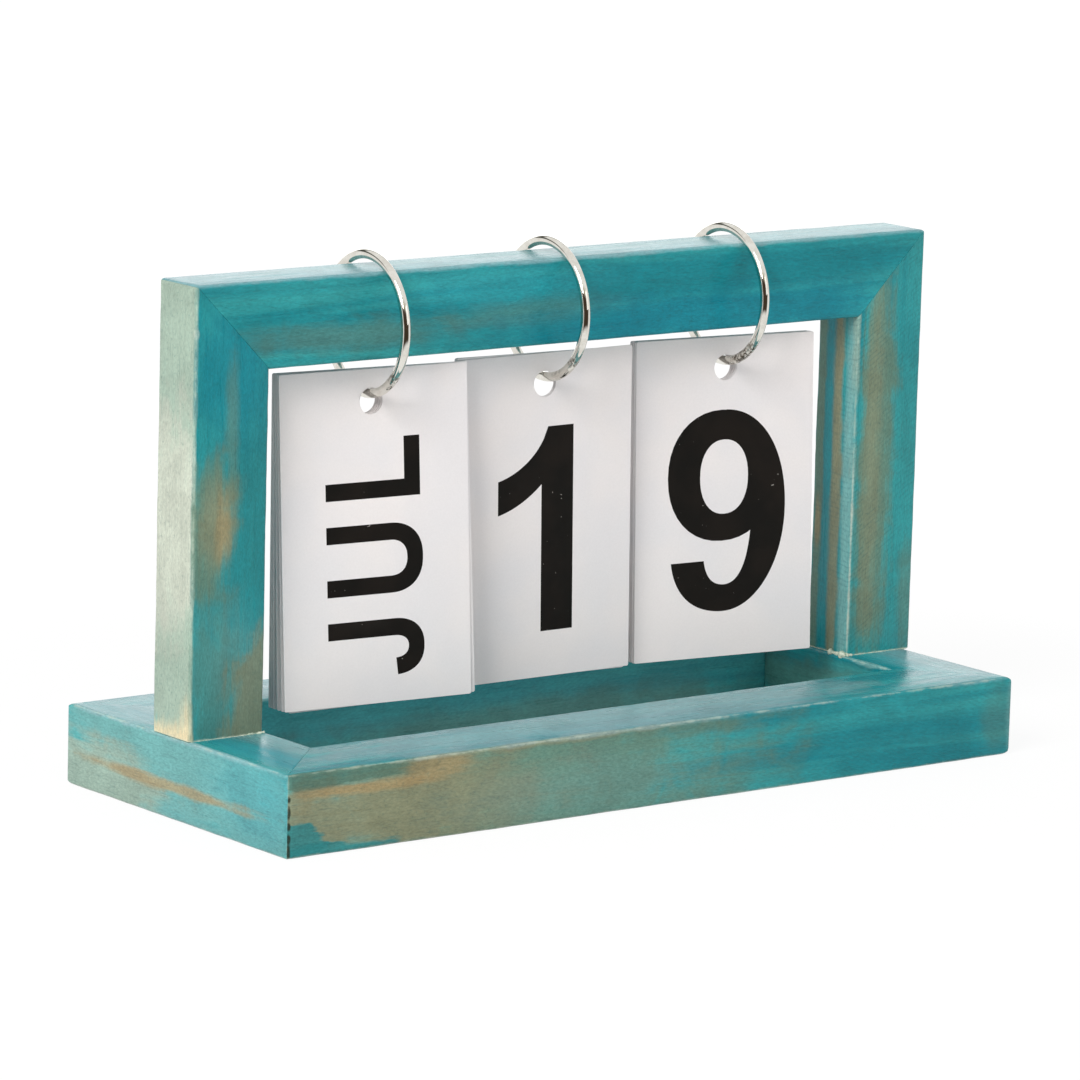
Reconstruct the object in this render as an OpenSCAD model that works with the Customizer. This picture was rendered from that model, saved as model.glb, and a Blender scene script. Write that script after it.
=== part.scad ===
// Perpetual desk calendar: an upright wooden frame on an open wooden base, with three
// packs of cards (months, tens and units of the date) hung from loose-leaf rings.
// X runs from left to right, Y from front to back and Z up, and the origin is the
// middle of the base's underside. Ring angles are counted from a ring's lowest point
// towards the front. Every pack is listed from its front card to its rear card.

/* [Cards] */
// Width of a card
card_w = 46; // [40:0.5:56]
// Height of a card
card_h = 72.5; // [60:0.5:95]
// Thickness of a card
card_t = 0.18; // [0.12:0.02:0.3]
// Air between two neighbouring cards at the ring
card_gap = 0.02; // [0.02:0.01:0.08]
// Diameter of the hole punched in a card
hole_d = 5.8; // [5.2:0.1:6.6]
// Slack between the hole's upper edge and the wire that carries the card
hang_gap = 0.3; // [0.2:0.05:0.5]
// Air between a card's top edge and the top rail's lower corner as the card turns
swing_gap = 0.22; // [0.15:0.01:0.6]
// Height of the cards' lower edge above the base
card_lift = 2.9; // [2:0.1:8]

/* [Packs] */
// Room between the left post and the month cards
left_room = 7.6; // [4:0.1:14]
// Room between the month cards and the tens cards
tens_room = 1.4; // [1.2:0.1:6]
// Room between the tens cards and the units cards
units_room = 4.2; // [1.2:0.1:8]
// Room between the units cards and the right post
right_room = 10.8; // [4:0.1:14]
// Turn of the month cards about the vertical
month_turn = 6.7; // [0:0.1:8]
// Turn of the tens cards about the vertical
tens_turn = 4; // [0:0.1:8]
// Turn of the units cards about the vertical
units_turn = 8.5; // [0:0.1:9]
// Angle between two neighbouring month cards
month_fan = 0.25; // [0:0.01:0.4]
// Angle between two neighbouring tens cards
tens_fan = 0.15; // [0:0.01:0.4]
// Angle between two neighbouring units cards
units_fan = 0.2; // [0:0.01:0.4]
// Forward lean of the rear month card
month_lean = 1; // [-1:0.1:1.5]
// Forward lean of the rear tens card
tens_lean = -0.2; // [-1:0.1:1.5]
// Forward lean of the rear units card
units_lean = 0.2; // [-1:0.1:1.5]
// Distance from a month card's middle to its hole, towards the left
month_hole_shift = 0.8; // [0:0.1:1.5]

/* [Rings] */
// Diameter of a ring, measured to the middle of its wire
ring_d = 30; // [29:0.1:34]
// Diameter of the ring wire
wire_d = 2.1; // [1.8:0.1:2.4]
// Turn of the rings about the vertical
ring_turn = 2; // [0:0.5:2]
// Slack between a ring and the edges of the top rail that it rests on
ring_gap = 0.12; // [0.1:0.01:0.4]
// Angle at which the toothed closure lies
closure_angle = 48; // [30:1:55]
// Angle of a ring's front half, from the teeth over the top to the hinge
front_arc = 188; // [180:1:192]
// Number of teeth across the closure
tooth_count = 2; // [1:1:3]
// Height of a closure tooth along the wire
tooth_depth = 1.3; // [0.6:0.1:2]
// Air between the two rows of teeth
tooth_gap = 0.1; // [0.05:0.01:0.2]
// Diameter of the flat ears at the hinge
ear_d = 4.2; // [3.6:0.1:4.6]
// Air between the two ears
ear_gap = 0.1; // [0.05:0.01:0.2]
// Air between an ear's rim and the wire of the other half
ear_rim_gap = 0.15; // [0.1:0.01:0.3]

/* [Ring rivets] */
// Diameter of a hinge rivet's shank
rivet_d = 1.3; // [1:0.1:1.6]
// Diameter of a hinge rivet's heads
rivet_head_d = 2.4; // [2:0.1:3]
// Thickness of a rivet head
rivet_head_t = 0.35; // [0.2:0.05:0.6]
// Running clearance round and under a rivet
rivet_gap = 0.05; // [0.02:0.01:0.1]

/* [Upright] */
// Width of the two posts, seen from the front
post_w = 19; // [16:0.5:24]
// Height of the top rail
top_rail_h = 19; // [15:0.5:20]
// Thickness of the upright, front to back
upright_t = 14; // [10:0.5:16]
// Distance from the front of the base to the front of the upright
upright_setback = 36.3; // [24:0.1:46]
// Width of the bevel sanded along the wood's long edges
edge_ease = 0.5; // [0.3:0.1:0.9]

/* [Base] */
// Depth of the base, front to back
base_d = 84; // [76:1:120]
// Height of the base
base_h = 18; // [16:0.5:30]
// Width of the base rails, seen from above
base_rail_w = 20; // [16:0.5:24]

/* [Fasteners] */
// Thickness of the steel in a corner nail
nail_t = 0.5; // [0.3:0.1:0.8]
// Length of each leg of a corner nail
nail_leg = 5; // [3:0.5:6]
// Length of a corner nail along the way it is driven
nail_h = 7; // [5:0.5:10]
// Depth to which nails and screw heads are sunk below the wood's face
sink = 0.3; // [0.1:0.1:1]
// Air round a nail or a screw in the wood
wood_gap = 0.05; // [0.02:0.01:0.1]
// Diameter of the post screws' shank
screw_d = 3.5; // [3:0.5:4.5]
// Diameter of the post screws' countersunk head
screw_head_d = 7; // [6:0.5:9]
// Length of the post screws
screw_len = 40; // [34:1:50]
// Height of the countersunk part of the screw head
screw_head_h = 2.4; // [2:0.1:3]
// Thickness of the cylindrical rim of the screw head
screw_rim = 0.3; // [0.2:0.1:0.6]
// Width of the slots of the screw's cross recess
recess_w = 0.9; // [0.6:0.1:1.2]
// Length of the slots of the screw's cross recess
recess_len = 4.2; // [3:0.1:5]
// Depth of the screw's cross recess
recess_depth = 1.5; // [0.8:0.1:2]

/* [Hidden] */
MONTH_CARDS = ["month_card_jul", "month_card_aug", "month_card_sep", "month_card_oct",
               "month_card_nov", "month_card_dec", "month_card_jan", "month_card_feb",
               "month_card_mar", "month_card_apr", "month_card_may", "month_card_jun"];
TENS_CARDS = ["tens_card_1", "tens_card_2", "tens_card_3", "tens_card_0"];
UNITS_CARDS = ["units_card_9", "units_card_0", "units_card_1", "units_card_2", "units_card_3",
               "units_card_4", "units_card_5", "units_card_6", "units_card_7", "units_card_8"];
$fn = 64;
eps = 0.01;

wood_colour = [0.17, 0.45, 0.45];
steel_colour = [0.70, 0.70, 0.72];
card_colour = [0.93, 0.92, 0.90];

// The window between the posts holds the three packs and the room beside them
window_w = left_room + tens_room + units_room + right_room + 3 * card_w;
base_w = window_w + 2 * post_w;
month_card_x = -window_w / 2 + left_room + card_w / 2;
month_x = month_card_x - month_hole_shift;
tens_x = month_card_x + card_w + tens_room;
units_x = tens_x + card_w + units_room;

// A ring hangs on the bevelled top edges of the top rail
ring_r = ring_d / 2;
upright_mid_y = -base_d / 2 + upright_setback + upright_t / 2;
half_t = upright_t / 2 / cos(ring_turn);
rest_r = ring_r - wire_d / 2 - ring_gap;
ring_hang = min(sqrt(pow(rest_r, 2) - pow(half_t, 2)) + edge_ease,
                sqrt(pow(rest_r, 2) - pow(half_t - edge_ease, 2)));

// A card's head is as high as turns clear of the top rail's lower corner
rail_drop = top_rail_h - ring_hang;
corner_r = max(norm([upright_t / 2 - edge_ease, rail_drop]),
               norm([upright_t / 2, rail_drop - edge_ease]));
hole_r = ring_r + hole_d / 2 - wire_d / 2 - hang_gap;
card_top_r = corner_r + swing_gap;
card_pitch = card_t + card_gap;

// The upright is as tall as the cards need
ring_z = base_h + card_lift + card_h + card_top_r;
top_z = ring_z + ring_hang;

ear_r = ear_d / 2;
ear_t = wire_d / 2 - ear_gap / 2;
hinge_angle = closure_angle + front_arc;
ear_cut_r = ear_r + ear_rim_gap;
post_x = base_w / 2 - post_w / 2;
// Share of a rail's width between the outer corner and a corner nail
nail_place = 0.4;
// Angle by which each half of a ring runs past the closure before its teeth are cut
closure_overlap = 8;
// Width and reach of the shapes that cut the teeth: a little more than the wire they cut
tooth_cut_w = 1.2 * wire_d;
tooth_cut_reach = ring_d * sin(closure_overlap) + tooth_depth;
// Share of a rivet head's diameter that is left at its flat top
rivet_crown = 0.7;

// ---------------------------------------------------------------- wood

// Cross-section of a wooden rail with bevelled edges, centred
module rail_section(w, h) {
    a = w / 2;
    b = h / 2;
    e = edge_ease;
    polygon([[a - e, -b], [a, -b + e], [a, b - e], [a - e, b],
             [-a + e, b], [-a, b - e], [-a, -b + e], [-a + e, -b]]);
}

// Straight rail along X
module x_rail(len, w, h) {
    rotate([90, 0, 90]) linear_extrude(len, center = true) rail_section(w, h);
}

// Straight rail along Y
module y_rail(len, w, h) {
    rotate([90, 0, 0]) linear_extrude(len, center = true) rail_section(w, h);
}

// Straight post along Z, standing on z = 0
module z_post(len, w, d) {
    linear_extrude(len) rail_section(w, d);
}

// Front or rear rail of the base, cut to its mitres; side is -1 for the front
module base_long_rail(side) {
    y_mid = side * (base_d - base_rail_w) / 2;
    outer = side * base_d / 2;
    inner = side * (base_d / 2 - base_rail_w);
    difference() {
        intersection() {
            translate([0, y_mid, base_h / 2]) x_rail(base_w, base_rail_w, base_h);
            translate([0, 0, -eps])
                linear_extrude(base_h + 2 * eps)
                    polygon([[-base_w / 2, outer], [base_w / 2, outer],
                             [base_w / 2 - base_rail_w, inner], [-base_w / 2 + base_rail_w, inner]]);
        }
        base_nails(wood_gap);
    }
}

// Left or right rail of the base; side is -1 for the left
module base_side_rail(side) {
    outer = side * base_w / 2;
    inner = side * (base_w / 2 - base_rail_w);
    difference() {
        intersection() {
            translate([side * (base_w - base_rail_w) / 2, 0, base_h / 2])
                y_rail(base_d, base_rail_w, base_h);
            translate([0, 0, -eps])
                linear_extrude(base_h + 2 * eps)
                    polygon([[outer, -base_d / 2], [outer, base_d / 2],
                             [inner, base_d / 2 - base_rail_w], [inner, -base_d / 2 + base_rail_w]]);
        }
        base_nails(wood_gap);
        screw(side, wood_gap);
    }
}

// Left or right post of the upright, mitred at its top; side is -1 for the left
module post(side) {
    outer = side * base_w / 2;
    inner = side * (base_w / 2 - post_w);
    difference() {
        intersection() {
            translate([side * post_x, upright_mid_y, base_h])
                z_post(top_z - base_h, post_w, upright_t);
            upright_slab([[outer, base_h], [outer, top_z], [inner, top_z - top_rail_h], [inner, base_h]]);
        }
        top_nails(wood_gap);
        screw(side, wood_gap);
    }
}

// Slab as thick as the upright, with the given outline seen from the front
module upright_slab(outline) {
    translate([0, upright_mid_y, 0])
        rotate([90, 0, 0])
            linear_extrude(upright_t + 2 * eps, center = true)
                polygon(outline);
}

// Rail that joins the posts at the top and carries the rings
module top_bar() {
    difference() {
        intersection() {
            translate([0, upright_mid_y, top_z - top_rail_h / 2])
                x_rail(base_w, upright_t, top_rail_h);
            upright_slab([[-base_w / 2, top_z], [base_w / 2, top_z],
                          [base_w / 2 - post_w, top_z - top_rail_h],
                          [-base_w / 2 + post_w, top_z - top_rail_h]]);
        }
        top_nails(wood_gap);
    }
}

// ---------------------------------------------------------------- fasteners

// Corner nail with two legs, standing on z = 0 with its corner at the origin; with g above 0
// it is the slot that the nail is driven into, open at the wood's face
module corner_nail(g) {
    t = nail_t + g;
    depth = g > 0 ? sink + eps : 0;
    translate([0, 0, -depth])
        linear_extrude(depth + nail_h + g)
            polygon([[-g, -g], [nail_leg + g, -g], [nail_leg + g, t],
                     [t, t], [t, nail_leg + g], [-g, nail_leg + g]]);
}

// Nails across the four mitres of the base, driven from below
module base_nails(g) {
    inset = base_rail_w * nail_place;
    for (sx = [-1, 1], sy = [-1, 1])
        translate([sx * (base_w / 2 - inset), sy * (base_d / 2 - inset), sink])
            mirror([max(sx, 0), 0, 0])
                mirror([0, max(sy, 0), 0])
                    corner_nail(g);
}

// Nails across the two mitres of the upright, driven from behind
module top_nails(g) {
    for (sx = [-1, 1])
        translate([sx * (base_w / 2 - post_w * nail_place), upright_mid_y + upright_t / 2 - sink,
                   top_z - top_rail_h * nail_place])
            mirror([max(sx, 0), 0, 0])
                rotate([90, 0, 0])
                    mirror([0, 1, 0])
                        corner_nail(g);
}

// Countersunk screw that holds a post from under the base; with g above 0 it is the
// hole that the screw is driven into
module screw(side, g) {
    head = screw_head_d / 2 + g;
    shank = screw_d / 2 + g;
    mouth = g > 0 ? -sink - eps : 0;
    translate([side * post_x, upright_mid_y, sink])
        rotate_extrude()
            polygon([[0, mouth], [head, mouth], [head, screw_rim],
                     [shank, screw_rim + screw_head_h], [shank, screw_len - screw_d],
                     [0, screw_len + g]]);
}

// One post screw with its cross recess
module post_screw(side) {
    difference() {
        screw(side, 0);
        for (turn = [0, 90])
            translate([side * post_x, upright_mid_y, sink])
                rotate([0, 0, turn])
                    cube([recess_len, recess_w, 2 * recess_depth], center = true);
    }
}

// ---------------------------------------------------------------- rings

// Moves a ring drawn round the origin, with its axis along Z, to its place on the top rail
module on_rail(x) {
    translate([x, upright_mid_y, ring_z])
        rotate([0, 0, -ring_turn])
            rotate([90, 0, 90])
                children();
}

// Bent wire between two ring angles
module wire_arc(from, to) {
    rotate([0, 0, 270 - to])
        rotate_extrude(angle = to - from)
            translate([ring_r, 0])
                circle(d = wire_d);
}

// Moves children to a ring angle: x points outwards and y runs on towards smaller angles
module at_angle(a) {
    rotate([0, 0, 270 - a]) translate([ring_r, 0, 0]) children();
}

// Block that ends in a row of teeth across the wire; dir is 1 on the rear half's side
module toothed_block(dir) {
    w = tooth_cut_w;
    steps = 2 * tooth_count;
    at_angle(closure_angle)
        rotate([90, 0, 90])
            linear_extrude(2 * tooth_cut_w, center = true)
                polygon(concat(
                    [for (k = [0 : steps])
                        [(k % 2 == 0 ? -1 : 1) * tooth_depth / 2 - dir * tooth_gap / 2,
                         -w / 2 + k * w / steps]],
                    [[dir * tooth_cut_reach, w / 2], [dir * tooth_cut_reach, -w / 2]]));
}

// Space that the ear of the other half turns in; dir is the side along the ring's axis
module ear_space(dir) {
    at_angle(hinge_angle)
        translate([0, 0, dir > 0 ? -ear_gap / 2 : -wire_d + ear_gap / 2])
            cylinder(r = ear_cut_r, h = wire_d);
}

// Flat ear with the rivet's hole, on the given side along the ring's axis
module ear(dir) {
    at_angle(hinge_angle)
        translate([0, 0, dir > 0 ? ear_gap / 2 : -wire_d / 2])
            cylinder(d = ear_d, h = ear_t);
}

module rivet_hole() {
    at_angle(hinge_angle) cylinder(d = rivet_d + 2 * rivet_gap, h = 2 * ear_d, center = true);
}

// Half of a ring that opens: over the front and the top, from the teeth to the hinge
module ring_front_half(x) {
    on_rail(x)
        difference() {
            union() {
                difference() {
                    wire_arc(closure_angle - closure_overlap, hinge_angle);
                    ear_space(-1);
                }
                ear(1);
            }
            toothed_block(1);
            rivet_hole();
        }
}

// Half of a ring that carries the cards: under the bottom and up the rear
module ring_rear_half(x) {
    on_rail(x)
        difference() {
            union() {
                difference() {
                    wire_arc(hinge_angle - 360, closure_angle + closure_overlap);
                    ear_space(1);
                }
                ear(-1);
            }
            toothed_block(-1);
            rivet_hole();
        }
}

// Rivet that the two halves of a ring turn on
module ring_rivet(x) {
    head_z = wire_d / 2 + rivet_gap;
    on_rail(x)
        at_angle(hinge_angle) {
            cylinder(d = rivet_d, h = 2 * head_z + rivet_head_t, center = true);
            for (side = [0, 1])
                mirror([0, 0, side])
                    translate([0, 0, head_z])
                        cylinder(d1 = rivet_head_d, d2 = rivet_head_d * rivet_crown, h = rivet_head_t);
        }
}

// ---------------------------------------------------------------- cards

// Card number i of a pack of n, hung on the ring at x
module card(x, i, n, turn, fan, lean, shift) {
    y = (i - (n - 1) / 2) * card_pitch;
    translate([x, upright_mid_y, ring_z])
        rotate([-lean - fan * (n - 1 - i), 0, 0])
            rotate([0, 0, -turn])
                translate([0, y, 0])
                    rotate([90, 0, 0])
                        linear_extrude(card_t, center = true)
                            difference() {
                                translate([shift - card_w / 2, -card_top_r - card_h])
                                    square([card_w, card_h]);
                                translate([0, -hole_r]) circle(d = hole_d);
                            }
}

module month_card(i) {
    card(month_x, i, len(MONTH_CARDS), month_turn, month_fan, month_lean, month_hole_shift);
}

module tens_card(i) {
    card(tens_x, i, len(TENS_CARDS), tens_turn, tens_fan, tens_lean, 0);
}

module units_card(i) {
    card(units_x, i, len(UNITS_CARDS), units_turn, units_fan, units_lean, 0);
}

// ---------------------------------------------------------------- sub-parts

module base_front_rail() color(wood_colour) base_long_rail(-1);
module base_rear_rail() color(wood_colour) base_long_rail(1);
module base_left_rail() color(wood_colour) base_side_rail(-1);
module base_right_rail() color(wood_colour) base_side_rail(1);
module left_post() color(wood_colour) post(-1);
module right_post() color(wood_colour) post(1);
module top_rail() color(wood_colour) top_bar();
module base_corner_nails() color(steel_colour) base_nails(0);
module top_corner_nails() color(steel_colour) top_nails(0);
module post_screws() color(steel_colour) for (side = [-1, 1]) post_screw(side);

base_front_rail();
base_rear_rail();
base_left_rail();
base_right_rail();
left_post();
right_post();
top_rail();
base_corner_nails();
top_corner_nails();
post_screws();

RINGS = [["month_ring", month_x], ["tens_ring", tens_x], ["units_ring", units_x]];
for (ring = RINGS) {
    color(steel_colour) ring_front_half(ring[1]);
    color(steel_colour) ring_rear_half(ring[1]);
    color(steel_colour) ring_rivet(ring[1]);
}

for (i = [0 : len(MONTH_CARDS) - 1])
    color(card_colour) month_card(i);
for (i = [0 : len(TENS_CARDS) - 1])
    color(card_colour) tens_card(i);
for (i = [0 : len(UNITS_CARDS) - 1])
    color(card_colour) units_card(i);
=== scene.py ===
"""Perpetual desk calendar: stained wooden frame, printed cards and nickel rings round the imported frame."""

import math
import random

import bmesh
import bpy
import numpy as np
from mathutils import Matrix, Vector, noise
from mathutils.geometry import delaunay_2d_cdt


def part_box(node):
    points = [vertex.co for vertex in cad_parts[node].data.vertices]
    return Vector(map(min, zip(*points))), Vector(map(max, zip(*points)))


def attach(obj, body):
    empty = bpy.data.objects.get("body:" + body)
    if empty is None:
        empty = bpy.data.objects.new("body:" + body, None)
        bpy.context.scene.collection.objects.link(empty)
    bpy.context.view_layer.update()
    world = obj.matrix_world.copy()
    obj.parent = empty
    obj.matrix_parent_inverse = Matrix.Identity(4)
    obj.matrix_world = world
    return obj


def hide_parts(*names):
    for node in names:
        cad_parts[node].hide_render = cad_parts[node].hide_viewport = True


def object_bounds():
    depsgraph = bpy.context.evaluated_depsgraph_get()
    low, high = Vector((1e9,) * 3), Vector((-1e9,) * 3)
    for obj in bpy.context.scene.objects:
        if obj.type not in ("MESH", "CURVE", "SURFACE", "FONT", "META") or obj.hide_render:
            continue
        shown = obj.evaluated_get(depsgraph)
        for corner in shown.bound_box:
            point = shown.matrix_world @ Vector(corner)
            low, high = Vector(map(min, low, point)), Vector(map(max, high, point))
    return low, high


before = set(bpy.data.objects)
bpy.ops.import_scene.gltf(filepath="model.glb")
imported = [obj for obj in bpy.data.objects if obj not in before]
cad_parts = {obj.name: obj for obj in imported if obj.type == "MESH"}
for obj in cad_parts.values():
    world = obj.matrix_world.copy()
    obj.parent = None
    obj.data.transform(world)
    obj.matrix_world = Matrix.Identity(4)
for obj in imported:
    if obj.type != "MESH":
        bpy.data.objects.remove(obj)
cad_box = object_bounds()

MM = 0.001
PACKS = {
    "month": ["jul", "aug", "sep", "oct", "nov", "dec", "jan", "feb", "mar", "apr", "may", "jun"],
    "tens": ["1", "2", "3", "0"],
    "units": ["9", "0", "1", "2", "3", "4", "5", "6", "7", "8"],
}


# ---------------------------------------------------------------- node helpers

NOISE_LOW, NOISE_HIGH = 0.3, 0.7


class Graph:
    """Puts nodes into one tree. A socket's value is a number, a colour, a vector or another node's socket."""

    def __init__(self, tree):
        self.tree = tree

    def put(self, kind, values=(), **settings):
        node = self.tree.nodes.new(kind)
        for key, value in settings.items():
            setattr(node, key, value)
        pairs = values.items() if isinstance(values, dict) else enumerate(values)
        for key, value in pairs:
            if isinstance(value, bpy.types.NodeSocket):
                self.tree.links.new(value, node.inputs[key])
            else:
                node.inputs[key].default_value = value
        return node

    def out(self, kind, values=(), **settings):
        """The first output of a new node."""
        return self.put(kind, values, **settings).outputs[0]

    def effect(self, tree, **values):
        return self.put("ShaderNodeGroup", values, node_tree=tree).outputs

    def math(self, operation, *values):
        return self.out("ShaderNodeMath", values, operation=operation)

    def times(self, first, second):
        return self.math("MULTIPLY", first, second)

    def most(self, first, second):
        return self.math("MAXIMUM", first, second)

    def vector(self, operation, *values):
        node = self.put("ShaderNodeVectorMath", values, operation=operation)
        return node.outputs["Value" if operation in ("LENGTH", "DOT_PRODUCT") else "Vector"]

    def scaled(self, vector, factor):
        values = {0: vector, "Scale": factor}
        return self.out("ShaderNodeVectorMath", values, operation="SCALE")

    def between(self, value, low, high, to_low=0.0, to_high=1.0):
        """Runs smoothly from to_low to to_high as the value goes from low to high."""
        values = {"Value": value, "From Min": low, "From Max": high, "To Min": to_low, "To Max": to_high}
        return self.out("ShaderNodeMapRange", values, interpolation_type="SMOOTHSTEP")

    def spread(self, noise, to_low=0.0, to_high=1.0):
        """Runs from to_low to to_high over the range that a noise mostly keeps to."""
        return self.between(noise, NOISE_LOW, NOISE_HIGH, to_low, to_high)

    def mix(self, factor, first, second, blend="MIX"):
        values = {0: factor, 6: first, 7: second}
        return self.put("ShaderNodeMix", values, data_type="RGBA", blend_type=blend).outputs[2]

    def noise(self, vector, scale, detail=3.0, roughness=0.5, distortion=0.0):
        values = {"Vector": vector, "Scale": scale, "Detail": detail,
                  "Roughness": roughness, "Distortion": distortion}
        return self.out("ShaderNodeTexNoise", values)

    def axes(self, vector):
        return self.put("ShaderNodeSeparateXYZ", [vector]).outputs


NUMBER, VECTOR = "NodeSocketFloat", "NodeSocketVector"


def effect(name, inputs, outputs, build):
    """Shader node group of a shared effect. Inputs are given by their defaults and outputs are numbers;
    build takes the graph and the inputs and returns the outputs by name."""
    tree = bpy.data.node_groups.new(name, "ShaderNodeTree")
    for label, value in inputs.items():
        kind = VECTOR if isinstance(value, tuple) else NUMBER
        tree.interface.new_socket(name=label, in_out="INPUT", socket_type=kind).default_value = value
    for label in outputs:
        tree.interface.new_socket(name=label, in_out="OUTPUT", socket_type=NUMBER)
    graph = Graph(tree)
    start = graph.put("NodeGroupInput")
    end = graph.put("NodeGroupOutput")
    for label, socket in build(graph, start.outputs).items():
        tree.links.new(socket, end.inputs[label])
    return tree


def empty_graph(owner):
    """Graph of a material's or the world's own nodes, cleared."""
    owner.use_nodes = True
    owner.node_tree.nodes.clear()
    return Graph(owner.node_tree)


def new_material(name):
    """Material with its graph, its Principled shader and the place on the object in millimetres."""
    material = bpy.data.materials.new(name)
    graph = empty_graph(material)
    shader = graph.put("ShaderNodeBsdfPrincipled")
    graph.put("ShaderNodeOutputMaterial", [shader.outputs[0]])
    place = graph.put("ShaderNodeTexCoord").outputs["Object"]
    return material, graph, shader, graph.scaled(place, 1 / MM)


def feed(graph, shader, **values):
    """Links or sets the shader's sockets; an underscore in a name stands for a space."""
    for label, value in values.items():
        socket = shader.inputs[label.replace("_", " ")]
        if isinstance(value, bpy.types.NodeSocket):
            graph.tree.links.new(value, socket)
        else:
            socket.default_value = value


def relief(graph, height, depth, strength):
    """Normal of a surface whose height goes from 0 to 1 over depth, in millimetres."""
    values = {"Height": height, "Distance": depth * MM, "Strength": strength}
    return graph.out("ShaderNodeBump", values)


def srgb(red, green, blue):
    """Linear colour of three display values from 0 to 255."""
    def linear(value):
        value /= 255
        return value / 12.92 if value <= 0.04045 else ((value + 0.055) / 1.055) ** 2.4
    return (linear(red), linear(green), linear(blue), 1.0)


# ---------------------------------------------------------------- shared effects


def build_edge_wear_and_highlight(graph, inputs):
    """1 on the edges of the box from Low to High, fading to 0 at a width that comes and goes."""
    to_low = graph.vector("SUBTRACT", inputs["Point"], inputs["Low"])
    to_high = graph.vector("SUBTRACT", inputs["High"], inputs["Point"])
    x, y, z = graph.axes(graph.vector("MINIMUM", to_low, to_high))[:3]
    least = graph.math("MINIMUM", x, y)
    most = graph.most(x, y)
    second = graph.most(least, graph.math("MINIMUM", most, z))
    patchy = graph.noise(inputs["Point"], inputs["Breaks"], 4.0, 0.65)
    width = graph.times(inputs["Width"], graph.between(patchy, 0.35, 0.7, 0.55, 1.6))
    return {"Mask": graph.between(second, 0.0, width, 1.0, 0.0)}


# Pale edges of the bars: partly rubbed, partly a painted highlight on their rounding
EDGE_WEAR_AND_HIGHLIGHT = effect(
    "edge_wear_and_highlight",
    {"Point": (0, 0, 0), "Low": (0, 0, 0), "High": (1, 1, 1), "Width": 0.55, "Breaks": 0.3},
    ["Mask"],
    build_edge_wear_and_highlight,
)


def build_soft_patch(graph, inputs):
    """Strength inside an ellipsoid round Centre, fading out over a ragged edge."""
    away = graph.vector("SUBTRACT", inputs["Point"], inputs["Centre"])
    reach = graph.vector("LENGTH", graph.vector("DIVIDE", away, inputs["Size"]))
    ragged = graph.times(graph.math("SUBTRACT", inputs["Ragged"], 0.5), 2.6)
    reach = graph.math("ADD", reach, ragged)
    low = graph.math("SUBTRACT", 1.0, inputs["Softness"])
    high = graph.math("ADD", 1.0, inputs["Softness"])
    mask = graph.between(reach, low, high, 1.0, 0.0)
    return {"Mask": graph.times(mask, inputs["Strength"])}


SOFT_PATCH = effect(
    "soft_patch",
    {"Point": (0, 0, 0), "Centre": (0, 0, 0), "Size": (1, 1, 1),
     "Ragged": 0.5, "Softness": 0.35, "Strength": 1.0},
    ["Mask"],
    build_soft_patch,
)


def build_wood_grain(graph, inputs):
    """Noises from 0 to 1, most of them drawn out along the bar, and the height of its surface."""
    along = graph.vector("MULTIPLY", inputs["Point"], inputs["Stretch"])
    place = graph.vector("ADD", along, inputs["Shift"])
    streaks = graph.noise(place, 0.7, 5.0, 0.6, 0.5)
    bands = graph.noise(place, 0.13, 3.0, 0.5, 0.9)
    pores = graph.between(graph.noise(place, 2.9, 2.0, 0.5), 0.6, 0.7)
    short = graph.vector("ADD", graph.scaled(inputs["Point"], 0.4), place)
    fibres = graph.noise(short, 2.0, 4.0, 0.7)
    cloud = graph.noise(inputs["Point"], 0.09, 3.0, 0.6, 0.6)
    height = graph.math("ADD", fibres, graph.times(graph.math("SUBTRACT", streaks, pores), 0.5))
    return {"Streaks": streaks, "Bands": bands, "Pores": pores,
            "Fibres": fibres, "Cloud": cloud, "Height": height}


WOOD_GRAIN = effect(
    "wood_grain",
    {"Point": (0, 0, 0), "Stretch": (1, 1, 1), "Shift": (0, 0, 0)},
    ["Streaks", "Bands", "Pores", "Fibres", "Cloud", "Height"],
    build_wood_grain,
)


def build_saw_marks(graph, inputs):
    """Broken, slightly wavy lines square to Across; Pitch is how closely they stand."""
    across = graph.vector("DOT_PRODUCT", inputs["Point"], inputs["Across"])
    wander = graph.noise(inputs["Point"], 0.12, 2.0)
    phase = graph.math("ADD", graph.times(across, inputs["Pitch"]), graph.times(wander, 9.0))
    line = graph.between(graph.math("SINE", phase), -0.1, 1.0)
    broken = graph.between(graph.noise(inputs["Point"], 0.8, 2.0), 0.4, 0.6, 0.25, 1.0)
    shows = graph.between(graph.noise(inputs["Point"], 0.1, 2.0), 0.38, 0.62, 0.2, 1.0)
    return {"Mask": graph.times(graph.times(line, broken), shows)}


SAW_MARKS = effect(
    "saw_marks",
    {"Point": (0, 0, 0), "Across": (1, 0, 0), "Pitch": 6.5},
    ["Mask"],
    build_saw_marks,
)


# ---------------------------------------------------------------- wood finish

STAIN_DEEP = srgb(12, 124, 133)
STAIN_LIGHT = srgb(46, 148, 150)
PORE_DARK = srgb(22, 88, 90)
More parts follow.
